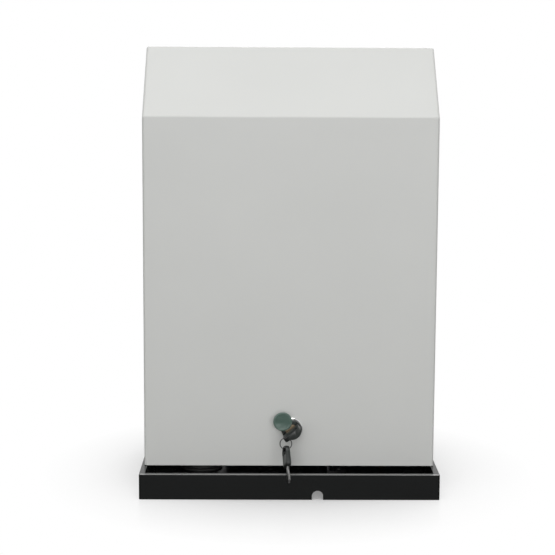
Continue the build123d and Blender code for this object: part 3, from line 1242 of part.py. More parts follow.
def main():
    """Write each node to its own file."""
    os.makedirs("parts", exist_ok=True)
    for name, shape in make_parts().items():
        if isinstance(shape, list):
            shape = Compound(children=shape)
        export_step(shape, f"parts/{name}.step")
        print(name, round(shape.volume))


main()
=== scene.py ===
"""Looks of the sliding gate motor: finishes, softened edges, small fittings, studio and camera.

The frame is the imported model's: X right, Y away from the viewer, Z up. Lengths are metres in the
materials, the studio and the camera. The functions and classes that make pieces take millimetres.
"""

import json
import logging
import math
import random
from dataclasses import dataclass, field
from enum import Enum
from typing import Callable, Optional, Sequence, Union

import bpy
from mathutils import Matrix, Vector

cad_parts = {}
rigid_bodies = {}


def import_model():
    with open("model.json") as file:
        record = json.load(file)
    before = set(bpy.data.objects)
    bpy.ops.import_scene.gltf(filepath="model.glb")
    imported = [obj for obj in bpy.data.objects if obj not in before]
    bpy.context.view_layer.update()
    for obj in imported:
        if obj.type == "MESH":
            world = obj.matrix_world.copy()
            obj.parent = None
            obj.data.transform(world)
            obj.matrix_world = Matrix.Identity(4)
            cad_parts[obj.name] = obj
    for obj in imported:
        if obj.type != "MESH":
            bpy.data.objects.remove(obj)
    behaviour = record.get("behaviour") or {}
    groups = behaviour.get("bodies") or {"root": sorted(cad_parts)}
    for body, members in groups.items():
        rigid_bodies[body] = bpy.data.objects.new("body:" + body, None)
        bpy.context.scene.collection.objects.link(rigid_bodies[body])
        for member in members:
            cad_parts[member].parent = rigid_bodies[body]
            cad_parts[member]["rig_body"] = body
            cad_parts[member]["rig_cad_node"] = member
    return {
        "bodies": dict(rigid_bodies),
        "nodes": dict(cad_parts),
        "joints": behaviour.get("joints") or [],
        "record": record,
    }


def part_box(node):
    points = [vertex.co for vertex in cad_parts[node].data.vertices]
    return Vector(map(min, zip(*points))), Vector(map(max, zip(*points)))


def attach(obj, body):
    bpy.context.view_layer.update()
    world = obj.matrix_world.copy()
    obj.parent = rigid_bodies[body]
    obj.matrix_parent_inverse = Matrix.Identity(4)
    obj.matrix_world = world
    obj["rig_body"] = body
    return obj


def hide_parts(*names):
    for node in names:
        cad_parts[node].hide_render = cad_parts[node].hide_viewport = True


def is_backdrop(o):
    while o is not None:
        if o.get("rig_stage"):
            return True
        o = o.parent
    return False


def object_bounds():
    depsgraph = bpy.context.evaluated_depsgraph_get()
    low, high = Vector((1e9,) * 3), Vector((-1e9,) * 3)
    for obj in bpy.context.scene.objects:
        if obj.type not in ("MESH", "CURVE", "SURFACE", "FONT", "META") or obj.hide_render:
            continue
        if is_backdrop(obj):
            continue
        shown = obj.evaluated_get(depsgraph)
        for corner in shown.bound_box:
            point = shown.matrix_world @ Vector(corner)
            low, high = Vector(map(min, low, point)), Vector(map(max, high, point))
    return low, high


LOG = logging.getLogger("gate_motor")
MM = 0.001
IMAGE_SIZE = 555
Colour = tuple[float, float, float]
Place = tuple[float, float, float]
Piece = bpy.types.Object
Spot = tuple[float, float]
Edges = tuple[tuple[str, float, int], ...]
Layer = tuple[float, float, float, int, float]
WHITE = (1.0, 1.0, 1.0, 1.0)
BLACK = (0.0, 0.0, 0.0, 1.0)
SHARP_ANGLE = math.radians(35.0)
HEAD_SIDES = 20
SLOT_SHARE = 0.14


class Wear(Enum):
    """How strongly an edge or a surface shows use."""

    LIGHT = 0.35
    MARKED = 0.8


class Axis(Enum):
    """The axis that turning or brushing marks run round or along."""

    X = 0
    Y = 1
    Z = 2

    def rotation(self) -> Place:
        """The Euler turn that lays a Z piece along this axis."""
        quarter = math.pi / 2
        return {Axis.X: (0, quarter, 0), Axis.Y: (quarter, 0, 0), Axis.Z: (0, 0, 0)}[self]


class Value:
    """A shader socket that takes part in Python arithmetic."""

    def __init__(self, tree: "Tree", socket: bpy.types.NodeSocket) -> None:
        """Keep the tree and the socket.

        Args:
            tree: the node tree that new nodes go to.
            socket: the output socket that this value stands for.
        """
        self.tree = tree
        self.socket = socket

    def _math(self, operation: str, *operands: Union["Value", float]) -> "Value":
        """Add one Math node.

        Args:
            operation: the Math node's operation.
            operands: its inputs in order.

        Returns:
            The node's result.
        """
        inputs = dict(enumerate(operands))
        return self.tree.node("ShaderNodeMath", inputs, operation=operation)

    def __add__(self, other: Union["Value", float]) -> "Value":
        """Sum."""
        return self._math("ADD", self, other)

    def __radd__(self, other: float) -> "Value":
        """Reflected sum."""
        return self._math("ADD", other, self)

    def __sub__(self, other: Union["Value", float]) -> "Value":
        """Difference."""
        return self._math("SUBTRACT", self, other)

    def __rsub__(self, other: float) -> "Value":
        """Reflected difference."""
        return self._math("SUBTRACT", other, self)

    def __mul__(self, other: Union["Value", float]) -> "Value":
        """Product."""
        return self._math("MULTIPLY", self, other)

    def __truediv__(self, other: Union["Value", float]) -> "Value":
        """Quotient."""
        return self._math("DIVIDE", self, other)

    def above(self, level: float) -> "Value":
        """One where the value is over a level."""
        return self._math("GREATER_THAN", self, level)

    def fraction(self) -> "Value":
        """Fractional part."""
        return self._math("FRACT", self)

    def clamped(self) -> "Value":
        """Value held between 0 and 1."""
        return self.tree.node("ShaderNodeClamp", {"Value": self})

    def ramp(self, low: float, high: float) -> "Value":
        """Map a span to 0..1, clamped.

        Args:
            low: the value that becomes 0.
            high: the value that becomes 1.

        Returns:
            The mapped value.
        """
        inputs = {"Value": self, "From Min": low, "From Max": high}
        return self.tree.node("ShaderNodeMapRange", inputs, clamp=True)


class Tree:
    """The node tree of a material or a world, with one method for every kind of node."""

    def __init__(self, owner: Union[bpy.types.Material, bpy.types.World]) -> None:
        """Empty the owner's tree.

        Args:
            owner: the new material or world.
        """
        owner.use_nodes = True
        self.owner = owner
        self.nodes = owner.node_tree.nodes
        self.links = owner.node_tree.links
        self.nodes.clear()
        self._coordinates: Optional[Value] = None

    def node(self, kind: str, inputs: dict, output: Union[int, str] = 0, **settings: object) -> Value:
        """Add one node.

        Args:
            kind: the node's type.
            inputs: values or links by socket name or number.
            output: the socket to return.
            settings: its properties, set first.

        Returns:
            The chosen output.
        """
        made = self.nodes.new(kind)
        for key, value in settings.items():
            setattr(made, key, value)
        for key, value in inputs.items():
            if isinstance(value, Value):
                self.links.new(value.socket, made.inputs[key])
            else:
                made.inputs[key].default_value = value
        return Value(self, made.outputs[output] if made.outputs else None)

    def coordinates(self) -> Value:
        """Give the object coordinates, from one node for the whole tree.

        Returns:
            The coordinates in metres.
        """
        if self._coordinates is None:
            self._coordinates = self.node("ShaderNodeTexCoord", {}, "Object")
        return self._coordinates

    def part(self, axis: Axis) -> Value:
        """The object coordinate along one axis, in metres."""
        return self.node("ShaderNodeSeparateXYZ", {"Vector": self.coordinates()}, axis.value)

    def noise(self, size: float, detail: float = 3.0, stretch: Place = (1, 1, 1),
              contrast: float = 1.0) -> Value:
        """Noise with a real grain size.

        Args:
            size: the size of a grain in metres.
            detail: octaves.
            stretch: scale of the pattern on each axis.
            contrast: gain round the middle.

        Returns:
            A value near 0.5.
        """
        vector = self.node("ShaderNodeMapping", {"Vector": self.coordinates(), "Scale": stretch})
        inputs = {"Vector": vector, "Scale": 1 / size, "Detail": detail}
        made = self.node("ShaderNodeTexNoise", inputs, 0)
        return (made - 0.5) * contrast + 0.5

    def mix(self, factor: Value, first: Union[Value, Colour], second: Colour) -> Value:
        """Blend two colours.

        Args:
            factor: 0 gives the first.
            first: linear colour, or a blend made earlier.
            second: linear colour.

        Returns:
            The blended colour.
        """
        inputs = {0: factor, 6: first if isinstance(first, Value) else (*first, 1), 7: (*second, 1)}
        return self.node("ShaderNodeMix", inputs, 2, data_type="RGBA")

    def bump(self, height: Value, distance: float) -> Value:
        """Turn a height into a normal.

        Args:
            height: the height value.
            distance: real height in metres of one unit.

        Returns:
            The normal.
        """
        return self.node("ShaderNodeBump", {"Height": height, "Distance": distance})

    def blend(self, factor: Union[Value, float], first: Value, second: Value) -> Value:
        """Blend two shaders: 0 gives the first."""
        return self.node("ShaderNodeMixShader", {0: factor, 1: first, 2: second})


@dataclass(frozen=True)
class Finish:
    """A surface in two tones."""

    colour: Colour
    shade: Colour

    def sockets(self, tree: Tree) -> dict:
        """Each finish works out what its shader is given."""
        raise NotImplementedError

    def material(self, name: str) -> bpy.types.Material:
        """Build the material.

        Args:
            name: its name.

        Returns:
            The material.
        """
        tree = Tree(bpy.data.materials.new(name))
        shader = tree.node("ShaderNodeBsdfPrincipled", self.sockets(tree))
        tree.node("ShaderNodeOutputMaterial", {"Surface": shader})
        return tree.owner


@dataclass(frozen=True)
class PowderCoat(Finish):
    """A stoved powder coat with a fine orange peel."""

    roughness: float = 0.42
    peel: float = 0.9 * MM
    peel_height: float = 0.012 * MM
    specular: float = 0.5

    def sockets(self, tree: Tree) -> dict:
        """Work out what the shader is given.

        Args:
            tree: the material's tree.

        Returns:
            Values and links by socket name.
        """
        broad = tree.noise(90 * MM, 2.0)
        speck = tree.noise(0.5 * MM, 1.0)
        colour = tree.mix((broad * 0.7 + speck * 0.3).ramp(0.3, 0.7), self.colour, self.shade)
        peel = tree.noise(self.peel, 2.0) + tree.noise(self.peel * 3.2, 1.0) * 0.6
        roughness = self.roughness + (broad - 0.5) * 0.08 + (speck - 0.5) * 0.06
        return {"Base Color": colour, "Roughness": roughness, "Specular IOR Level": self.specular,
                "Normal": tree.bump(peel, self.peel_height)}


@dataclass(frozen=True)
class RimHighlightCoat(Finish):
    """A smooth black coat on a casting, glossier along its highest front edge, where a paler colour in noisy
    patches is a painted highlight.
    """

    painted_highlight: Colour
    height: float
    front: float
    fade: float = 0.4 * MM
    roughness: float = 0.22
    specular: float = 0.2

    def sockets(self, tree: Tree) -> dict:
        """Work out what the shader is given.

        Args:
            tree: the material's tree.

        Returns:
            Values and links by socket name.
        """
        broad = tree.noise(70 * MM, 3.0)
        speck = tree.noise(0.6 * MM, 2.0)
        top = tree.part(Axis.Z).ramp(self.height - self.fade, self.height)
        rim = top * (0 - tree.part(Axis.Y)).ramp(self.front - self.fade, self.front)
        # Painted highlight: the paler colour, in noisy patches along the top of the front rim, stands in for
        # light caught on that edge.
        highlight_mask = rim * tree.noise(24 * MM, 4.0, contrast=1.6).ramp(0.05, 0.45)
        paint = tree.mix((broad * 0.6 + speck * 0.4).ramp(0.3, 0.7), self.colour, self.shade)
        colour = tree.mix(highlight_mask, paint, self.painted_highlight)
        peel = tree.noise(0.7 * MM, 2.0) + tree.noise(2.4 * MM, 1.0) * 0.6
        return {"Base Color": colour, "Roughness": self.roughness + (broad - 0.5) * 0.08,
                "Specular IOR Level": self.specular, "Coat Weight": rim, "Coat IOR": 1.8,
                "Coat Roughness": 0.12, "Normal": tree.bump(peel, 0.004 * MM)}


@dataclass(frozen=True)
class CastMetal(Finish):
    """Sand or die cast metal with a grainy skin."""

    grain: float = 0.8 * MM
    grain_height: float = 0.05 * MM
    roughness: float = 0.5
    metallic: float = 1.0

    def sockets(self, tree: Tree) -> dict:
        """Work out what the shader is given.

        Args:
            tree: the material's tree.

        Returns:
            Values and links by socket name.
        """
        cloud = tree.noise(28 * MM, 4.0, contrast=1.4)
        grain = tree.noise(self.grain, 3.0)
        pits = 1 - tree.noise(self.grain * 2.6, 1.0).ramp(0.28, 0.4)
        colour = tree.mix((cloud * 0.6 + pits * 0.4).clamped(), self.colour, self.shade)
        return {"Base Color": colour, "Roughness": self.roughness + (cloud - 0.5) * 0.2,
                "Metallic": self.metallic, "Normal": tree.bump(grain - pits * 0.7, self.grain_height)}


@dataclass(frozen=True)
class MachinedMetal(Finish):
    """Turned, ground or plated metal with fine marks along one axis."""

    axis: Axis = Axis.Z
    roughness: float = 0.28
    line: float = 0.18 * MM
    wear: Wear = Wear.LIGHT
    streak: float = 0.06

    def sockets(self, tree: Tree) -> dict:
        """Work out what the shader is given.

        Args:
            tree: the material's tree.

        Returns:
            Values and links by socket name.
        """
        stretch = [self.streak] * 3
        stretch[self.axis.value] = 1.0
        lines = tree.noise(self.line, 2.0, tuple(stretch))
        stain = tree.noise(9 * MM, 4.0, contrast=1.6)
        tone = (stain * self.wear.value + lines * 0.3).clamped()
        return {"Base Color": tree.mix(tone, self.colour, self.shade), "Metallic": 1.0,
                "Roughness": self.roughness + (stain - 0.5) * 0.25 + (lines - 0.5) * 0.1,
                "Normal": tree.bump(lines, 0.006 * MM)}


@dataclass(frozen=True)
class MouldedPlastic(Finish):
    """Moulded plastic or rubber with a spark-eroded grain."""

    roughness: float = 0.45
    grain: float = 0.35 * MM
    grain_height: float = 0.012 * MM
    specular: float = 0.5

    def sockets(self, tree: Tree) -> dict:
        """Work out what the shader is given.

        Args:
            tree: the material's tree.

        Returns:
            Values and links by socket name.
        """
        grain = tree.noise(self.grain, 2.0)
        cloud = tree.noise(14 * MM, 3.0)
        tone = (cloud * 0.6 + grain * 0.4).ramp(0.3, 0.7)
        return {"Base Color": tree.mix(tone, self.colour, self.shade),
                "Roughness": self.roughness + (cloud - 0.5) * 0.18, "Specular IOR Level": self.specular,
                "Normal": tree.bump(grain, self.grain_height)}


@dataclass(frozen=True)
class Laminations(Finish):
    """Stacked sheets seen at their edges, or layers of wire."""

    pitch: float = 0.5 * MM
    metallic: float = 0.9
    roughness: float = 0.4

    def sockets(self, tree: Tree) -> dict:
        """Work out what the shader is given.

        Args:
            tree: the material's tree.

        Returns:
            Values and links by socket name.
        """
        gap = (tree.part(Axis.Z) / self.pitch).fraction().above(0.78)
        cloud = tree.noise(6 * MM, 3.0)
        tone = (gap * 0.7 + cloud * 0.3).clamped()
        return {"Base Color": tree.mix(tone, self.colour, self.shade), "Metallic": self.metallic,
                "Roughness": self.roughness + (cloud - 0.5) * 0.2,
                "Normal": tree.bump(1 - gap, 0.08 * MM)}


@dataclass(frozen=True)
class CircuitMask(Finish):
    """Solder mask, paler over the copper tracks of a square grid."""

    pitch: float = 2.54 * MM

    def sockets(self, tree: Tree) -> dict:
        """Work out what the shader is given.

        Args:
            tree: the material's tree.

        Returns:
            Values and links by socket name.
        """
        cell = tree.node("ShaderNodeVectorMath", {0: tree.coordinates(), 1: (self.pitch * 5, 1.0, self.pitch)},
                         operation="SNAP")
        choice = tree.node("ShaderNodeTexWhiteNoise", {"Vector": cell}, noise_dimensions="3D")
        band = (tree.part(Axis.Z) / self.pitch).fraction()
        track = band.above(0.3) * (1 - band.above(0.72)) * choice.above(0.42)
        return {"Base Color": tree.mix(track, self.colour, self.shade), "Roughness": 0.3 + choice * 0.1,
                "Specular IOR Level": 0.5, "Normal": tree.bump(track, 0.04 * MM)}


FINISHES = {
    # The base's third colour is a painted highlight along the top of its front rim.
    "base_casting": RimHighlightCoat((0.0066, 0.0073, 0.0072), (0.0054, 0.0061, 0.0060), (0.060, 0.060, 0.058),
                               25.9 * MM, 118.6 * MM),
    # Painted shade: this near-black stands in for the shade in the gap under the cover, where the strike
    # bracket and its screws are seen.
    "black_steel": PowderCoat((0.0090, 0.0092, 0.0094), (0.0060, 0.0062, 0.0064), 0.40, 0.5 * MM, 0.006 * MM,
                              0.3),
    "ring_steel": MachinedMetal((0.110, 0.110, 0.108), (0.060, 0.060, 0.060), Axis.Y, 0.34),
    "rubber": MouldedPlastic((0.016, 0.016, 0.016), (0.024, 0.024, 0.023), 0.62),
    "zinc_steel": MachinedMetal((0.62, 0.62, 0.59), (0.45, 0.46, 0.44)),
    "gear_casting": CastMetal((0.50, 0.51, 0.52), (0.36, 0.37, 0.38)),
    "bearing_steel": MachinedMetal((0.70, 0.70, 0.70), (0.55, 0.55, 0.56), Axis.Y, 0.18),
    "dynamo_steel": Laminations((0.34, 0.34, 0.35), (0.12, 0.12, 0.13)),
    "winding": Laminations((0.46, 0.13, 0.035), (0.16, 0.04, 0.012), 0.9 * MM, 0.5, 0.3),
    "cowl_paint": PowderCoat((0.018, 0.018, 0.019), (0.012, 0.012, 0.013), 0.45, 1.1 * MM, 0.02 * MM),
    "panel_steel": MachinedMetal((0.56, 0.58, 0.58), (0.40, 0.42, 0.43), Axis.X, 0.4, 1.6 * MM, Wear.MARKED),
    "circuit_board": CircuitMask((0.010, 0.105, 0.045), (0.020, 0.200, 0.085)),
    "black_plastic": MouldedPlastic((0.018, 0.018, 0.019), (0.027, 0.027, 0.028)),
    "relay_plastic": MouldedPlastic((0.030, 0.095, 0.270), (0.024, 0.078, 0.230), 0.3),
    "terminal_plastic": MouldedPlastic((0.040, 0.240, 0.070), (0.032, 0.200, 0.058), 0.38),
    "capacitor_can": MouldedPlastic((0.66, 0.66, 0.63), (0.60, 0.60, 0.57), 0.35),
    "cover_coat": PowderCoat((0.556, 0.562, 0.546), (0.542, 0.548, 0.533), 0.44, 0.8 * MM, 0.010 * MM),
    "lock_dark": MachinedMetal((0.055, 0.062, 0.058), (0.030, 0.034, 0.032), Axis.Y, 0.34),
    "lock_chrome": MachinedMetal((0.82, 0.82, 0.81), (0.70, 0.70, 0.70), Axis.Y, 0.12),
    "cap_satin": PowderCoat((0.086, 0.138, 0.114), (0.066, 0.112, 0.092), 0.40, 0.5 * MM, 0.006 * MM),
    "core_brass": MachinedMetal((0.40, 0.33, 0.22), (0.20, 0.12, 0.09), Axis.Y, 0.3),
    "key_plastic": MouldedPlastic((0.0115, 0.0140, 0.0130), (0.0160, 0.0190, 0.0180), 0.38),
    "key_steel": MachinedMetal((0.34, 0.34, 0.33), (0.20, 0.20, 0.20), Axis.Y, 0.34, wear=Wear.MARKED),
    "shaft_steel": MachinedMetal((0.52, 0.52, 0.52), (0.36, 0.36, 0.36), Axis.Y, 0.26),
    "bronze": MachinedMetal((0.56, 0.36, 0.16), (0.40, 0.24, 0.10), Axis.Y, 0.3),
    "lever_red": MouldedPlastic((0.50, 0.028, 0.018), (0.42, 0.022, 0.015), 0.36),
}


class Workshop:
    """The frame, its finishes, and the ways in which a piece is made and handed over."""

    def __init__(self, frame: dict) -> None:
        """Make every finish once.
        """
        self.nodes: dict[str, Piece] = frame["nodes"]
        self.slot_of = {part["node"]: part["material_slot"] for part in frame["record"]["subparts"]}
        self.bodies = frame["record"]["behaviour"]["bodies"]
        self.materials = {name: finish.material(name) for name, finish in FINISHES.items()}

    def body_of(self, node: str) -> str:
        """The name of the body that holds a node."""
        return next(body for body, members in self.bodies.items() if node in members)

    def dress_nodes(self) -> None:
        """Give every CAD node the finish of its slot."""
        for name, piece in self.nodes.items():
            slot = self.slot_of[name]
            for index in range(len(piece.material_slots)):
                piece.material_slots[index].material = self.materials[slot]
            if not piece.material_slots:
                piece.data.materials.append(self.materials[slot])
            LOG.info("node %s in %s", name, slot)

    def hand_over(self, piece: Piece, name: str, body: str, slot: str,
                  replaced: Sequence[str] = ()) -> Piece:
        """Name, place, finish and attach a finished piece.

        Args:
            piece: the object, still placed by its own transform.
            name: its new name.
            body: the body that it rides on.
            slot: the record's material slot.
            replaced: CAD nodes that it stands for.

        Returns:
            The piece.
        """
        only(piece)
        bpy.ops.object.transform_apply(location=True, rotation=True, scale=True)
        piece.name = name
        piece.data.name = name
        piece.data.materials.clear()
        piece.data.materials.append(self.materials[slot])
        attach(piece, body)
        if replaced:
            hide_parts(*replaced)
        LOG.info("piece %s on %s: %d faces", name, body, len(piece.data.polygons))
        return piece

    def soften(self, node: str, width: float, segments: int) -> Piece:
        """Stand a copy with rounded edges in a node's place.

        Args:
            node: the CAD node.
            width: the rounding in millimetres.
            segments: faces across the rounding.

        Returns:
            The softened piece.
        """
        source = self.nodes[node]
        copy = source.copy()
        copy.data = source.data.copy()
        copy.parent = None
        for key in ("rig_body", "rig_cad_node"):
            if key in copy:
                del copy[key]
        bpy.context.scene.collection.objects.link(copy)
        edit_all(copy)
        bpy.ops.mesh.remove_doubles(threshold=0.002 * MM)
        bpy.ops.mesh.dissolve_limited(angle_limit=math.radians(1.0))
        bpy.ops.object.mode_set(mode="OBJECT")
        add_bevel(copy, width, segments, True)
        edit_all(copy)
        bpy.ops.mesh.quads_convert_to_tris()
        bpy.ops.object.mode_set(mode="OBJECT")
        bpy.ops.object.shade_smooth_by_angle(angle=SHARP_ANGLE)
        return self.hand_over(copy, f"{node}_finished", self.body_of(node), self.slot_of[node], [node])


def metres(place: Place) -> list[float]:
    """A place in millimetres, in metres."""
    return [value * MM for value in place]


def shifted(place: Place, axis: Axis, distance: float) -> Place:
    """Move a place along one axis.

    Args:
        place: where it starts, in millimetres.
        axis: the axis.
        distance: how far, in millimetres.

    Returns:
        The new place.
    """
    moved = list(place)
    moved[axis.value] += distance
    return tuple(moved)


def extent(node: str) -> tuple[Vector, Vector, Vector]:
    """A node's lower corner, upper corner and middle in millimetres."""
    low, high = (Vector(corner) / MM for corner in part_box(node))
    return low, high, (low + high) / 2


def only(piece: Piece) -> None:
    """Make one piece the only selected and active object.

    Args:
        piece: the object.
    """
    bpy.ops.object.select_all(action="DESELECT")
    piece.select_set(True)
    bpy.context.view_layer.objects.active = piece


def edit_all(piece: Piece) -> None:
    """Open a piece's mesh with all of it selected.

    Args:
        piece: the object.
    """
    only(piece)
    bpy.ops.object.mode_set(mode="EDIT")
    bpy.ops.mesh.select_all(action="SELECT")


def add_primitive(kind: Callable, **settings: object) -> Piece:
    """Add a primitive with nothing else selected.

    Args:
        kind: the bpy.ops.mesh operator.
        settings: its arguments.

    Returns:
        The new object.
    """
    bpy.ops.object.select_all(action="DESELECT")
    kind(**settings)
    return bpy.context.active_object


def add_bevel(piece: Piece, width: float, segments: int, harden: bool = False) -> None:
    """Round a piece's sharp edges.

    Args:
        piece: the object.
        width: the rounding in millimetres.
        segments: faces across the rounding.
        harden: keep the flat faces' normals flat.
    """
    only(piece)
    bevel = piece.modifiers.new("edge", "BEVEL")
    bevel.width = width * MM
    bevel.segments = segments
    bevel.limit_method = "ANGLE"
    bevel.angle_limit = SHARP_ANGLE
    bevel.harden_normals = harden
    bpy.ops.object.modifier_apply(modifier=bevel.name)
    if not harden:
        bpy.ops.object.shade_smooth_by_angle(angle=SHARP_ANGLE)


def merge(parts: Sequence[Piece]) -> Piece:
    """Join several pieces into the first one.

    Args:
        parts: the pieces.

    Returns:
        The joined piece.
    """
    bpy.ops.object.select_all(action="DESELECT")
    for piece in parts:
        piece.select_set(True)
    bpy.context.view_layer.objects.active = parts[0]
    if len(parts) > 1:
        bpy.ops.object.join()
    return parts[0]


def rounded_box(low: Place, high: Place, edge: float, segments: int = 2) -> Piece:
    """A box between two corners, with rounded edges.

    Args:
        low: its lower corner in millimetres.
        high: its upper corner in millimetres.
        edge: the rounding in millimetres.
        segments: faces across the rounding.

    Returns:
        The box.
    """
    middle = [(a + b) / 2 * MM for a, b in zip(low, high)]
    size = [(b - a) * MM for a, b in zip(low, high)]
    piece = add_primitive(bpy.ops.mesh.primitive_cube_add, size=1, location=middle, scale=size)
    bpy.ops.object.transform_apply(location=False, rotation=False, scale=True)
    add_bevel(piece, edge, segments)
    return piece


def rod(axis: Axis, centre: Place, radius: float, length: float, sides: int = 24,
        edge: float = 0.0) -> Piece:
    """A cylinder or prism along an axis.

    Args:
        axis: the axis.
        centre: its middle in millimetres.
        radius: its radius in millimetres.
        length: its length in millimetres.
        sides: faces round it.
        edge: the rounding of its ends in millimetres.

    Returns:
        The cylinder.
    """
    piece = add_primitive(bpy.ops.mesh.primitive_cylinder_add, vertices=sides, radius=radius * MM,
                          depth=length * MM, location=metres(centre))
    piece.rotation_euler = axis.rotation()
    if edge:
        add_bevel(piece, edge, 2)
    return piece


def hoop(axis: Axis, centre: Place, radius: float, wire: float, sides: int = 48,
         grain: int = 8) -> Piece:
    """A ring of round wire.

    Args:
        axis: the axis that it lies round.
        centre: its middle in millimetres.
        radius: the radius to the wire's middle, in millimetres.
        wire: the wire's radius in millimetres.
        sides: faces round the ring.
        grain: faces round the wire.

    Returns:
        The ring.
    """
    piece = add_primitive(bpy.ops.mesh.primitive_torus_add, major_segments=sides, minor_segments=grain,
                          major_radius=radius * MM, minor_radius=wire * MM,
                          location=metres(centre), rotation=axis.rotation())
    bpy.ops.object.shade_smooth_by_angle(angle=math.radians(60))
    return piece


def stack(axis: Axis, seat: Place, layers: Sequence[Layer]) -> Piece:
    """Discs and prisms on one axis, joined.

    Args:
        axis: the axis.
        seat: the point that the layers are measured from, in millimetres.
        layers: each one's middle along the axis, radius, length, sides and end rounding.

    Returns:
        The joined piece.
    """
    return merge([rod(axis, shifted(seat, axis, along), radius, length, sides, edge)
                  for along, radius, length, sides, edge in layers])


def slotted_head(axis: Axis, seat: Place, radius: float, height: float, outward: float) -> Piece:
    """A screw head with a slot, made of two half discs that stand apart on a floor.

    Args:
        axis: the screw's axis.
        seat: the middle of the seat in millimetres.
        radius: the head's radius in millimetres.
        height: the head's height in millimetres.
        outward: 1 or -1, the side that the head looks to.

    Returns:
        The head.
    """
    parts = [rod(axis, shifted(seat, axis, outward * height * 0.25), radius, height * 0.5, HEAD_SIDES)]
    across = 2 if axis is Axis.Y else 1
    middle = shifted(seat, axis, outward * height * 0.55)
    for side in (-1, 1):
        cheek = rod(axis, middle, radius, height * 0.9, HEAD_SIDES)
        only(cheek)
        bpy.ops.object.transform_apply(location=True, rotation=True, scale=True)
        edit_all(cheek)
        normal = [0.0, 0.0, 0.0]
        normal[across] = side
        point = metres(middle)
        point[across] += side * radius * SLOT_SHARE * MM
        bpy.ops.mesh.bisect(plane_co=point, plane_no=normal, use_fill=True, clear_inner=True)
        bpy.ops.object.mode_set(mode="OBJECT")
        parts.append(cheek)
    return merge(parts)


@dataclass
class ViewPoint:
    """The camera at the photograph's place, from its fitted focal length and pose."""

    focal_pixels: float = 1451.92
    place: Place = (-0.02703, -1.55403, 0.42271)
    yaw: float = 0.00964
    pitch: float = 0.13505
    roll: float = 0.00509
    sensor: float = 36.0

    def build(self) -> Piece:
        """Make the camera and set it on the scene.

        Returns:
            The camera.
        """
        forward = Vector((math.sin(self.yaw) * math.cos(self.pitch),
                          math.cos(self.yaw) * math.cos(self.pitch), -math.sin(self.pitch)))
        level = Vector((math.cos(self.yaw), -math.sin(self.yaw), 0))
        above = level.cross(forward)
        right = math.cos(self.roll) * level + math.sin(self.roll) * above
        up = -math.sin(self.roll) * level + math.cos(self.roll) * above
        turn = Matrix((right, up, -forward)).transposed()
        data = bpy.data.cameras.new("camera")
        data.sensor_fit = "HORIZONTAL"
        data.sensor_width = self.sensor
        data.lens = self.focal_pixels * self.sensor / IMAGE_SIZE
        data.clip_end = 50
        camera = bpy.data.objects.new("camera", data)
        camera.matrix_world = Matrix.Translation(self.place) @ turn.to_4x4()
        bpy.context.scene.collection.objects.link(camera)
        bpy.context.scene.camera = camera
        return camera


@dataclass(frozen=True)
class Softbox:
    """One square area lamp."""

    name: str
    place: Place
    aim: Place
    size: float
    power: float

    def build(self) -> None:
        """Hang the lamp."""
        data = bpy.data.lights.new(self.name, "AREA")
        data.size = self.size
        data.energy = self.power
        lamp = bpy.data.objects.new(self.name, data)
        lamp.location = self.place
        lamp.rotation_euler = (Vector(self.aim) - Vector(self.place)).to_track_quat("-Z", "Y").to_euler()
        bpy.context.scene.collection.objects.link(lamp)


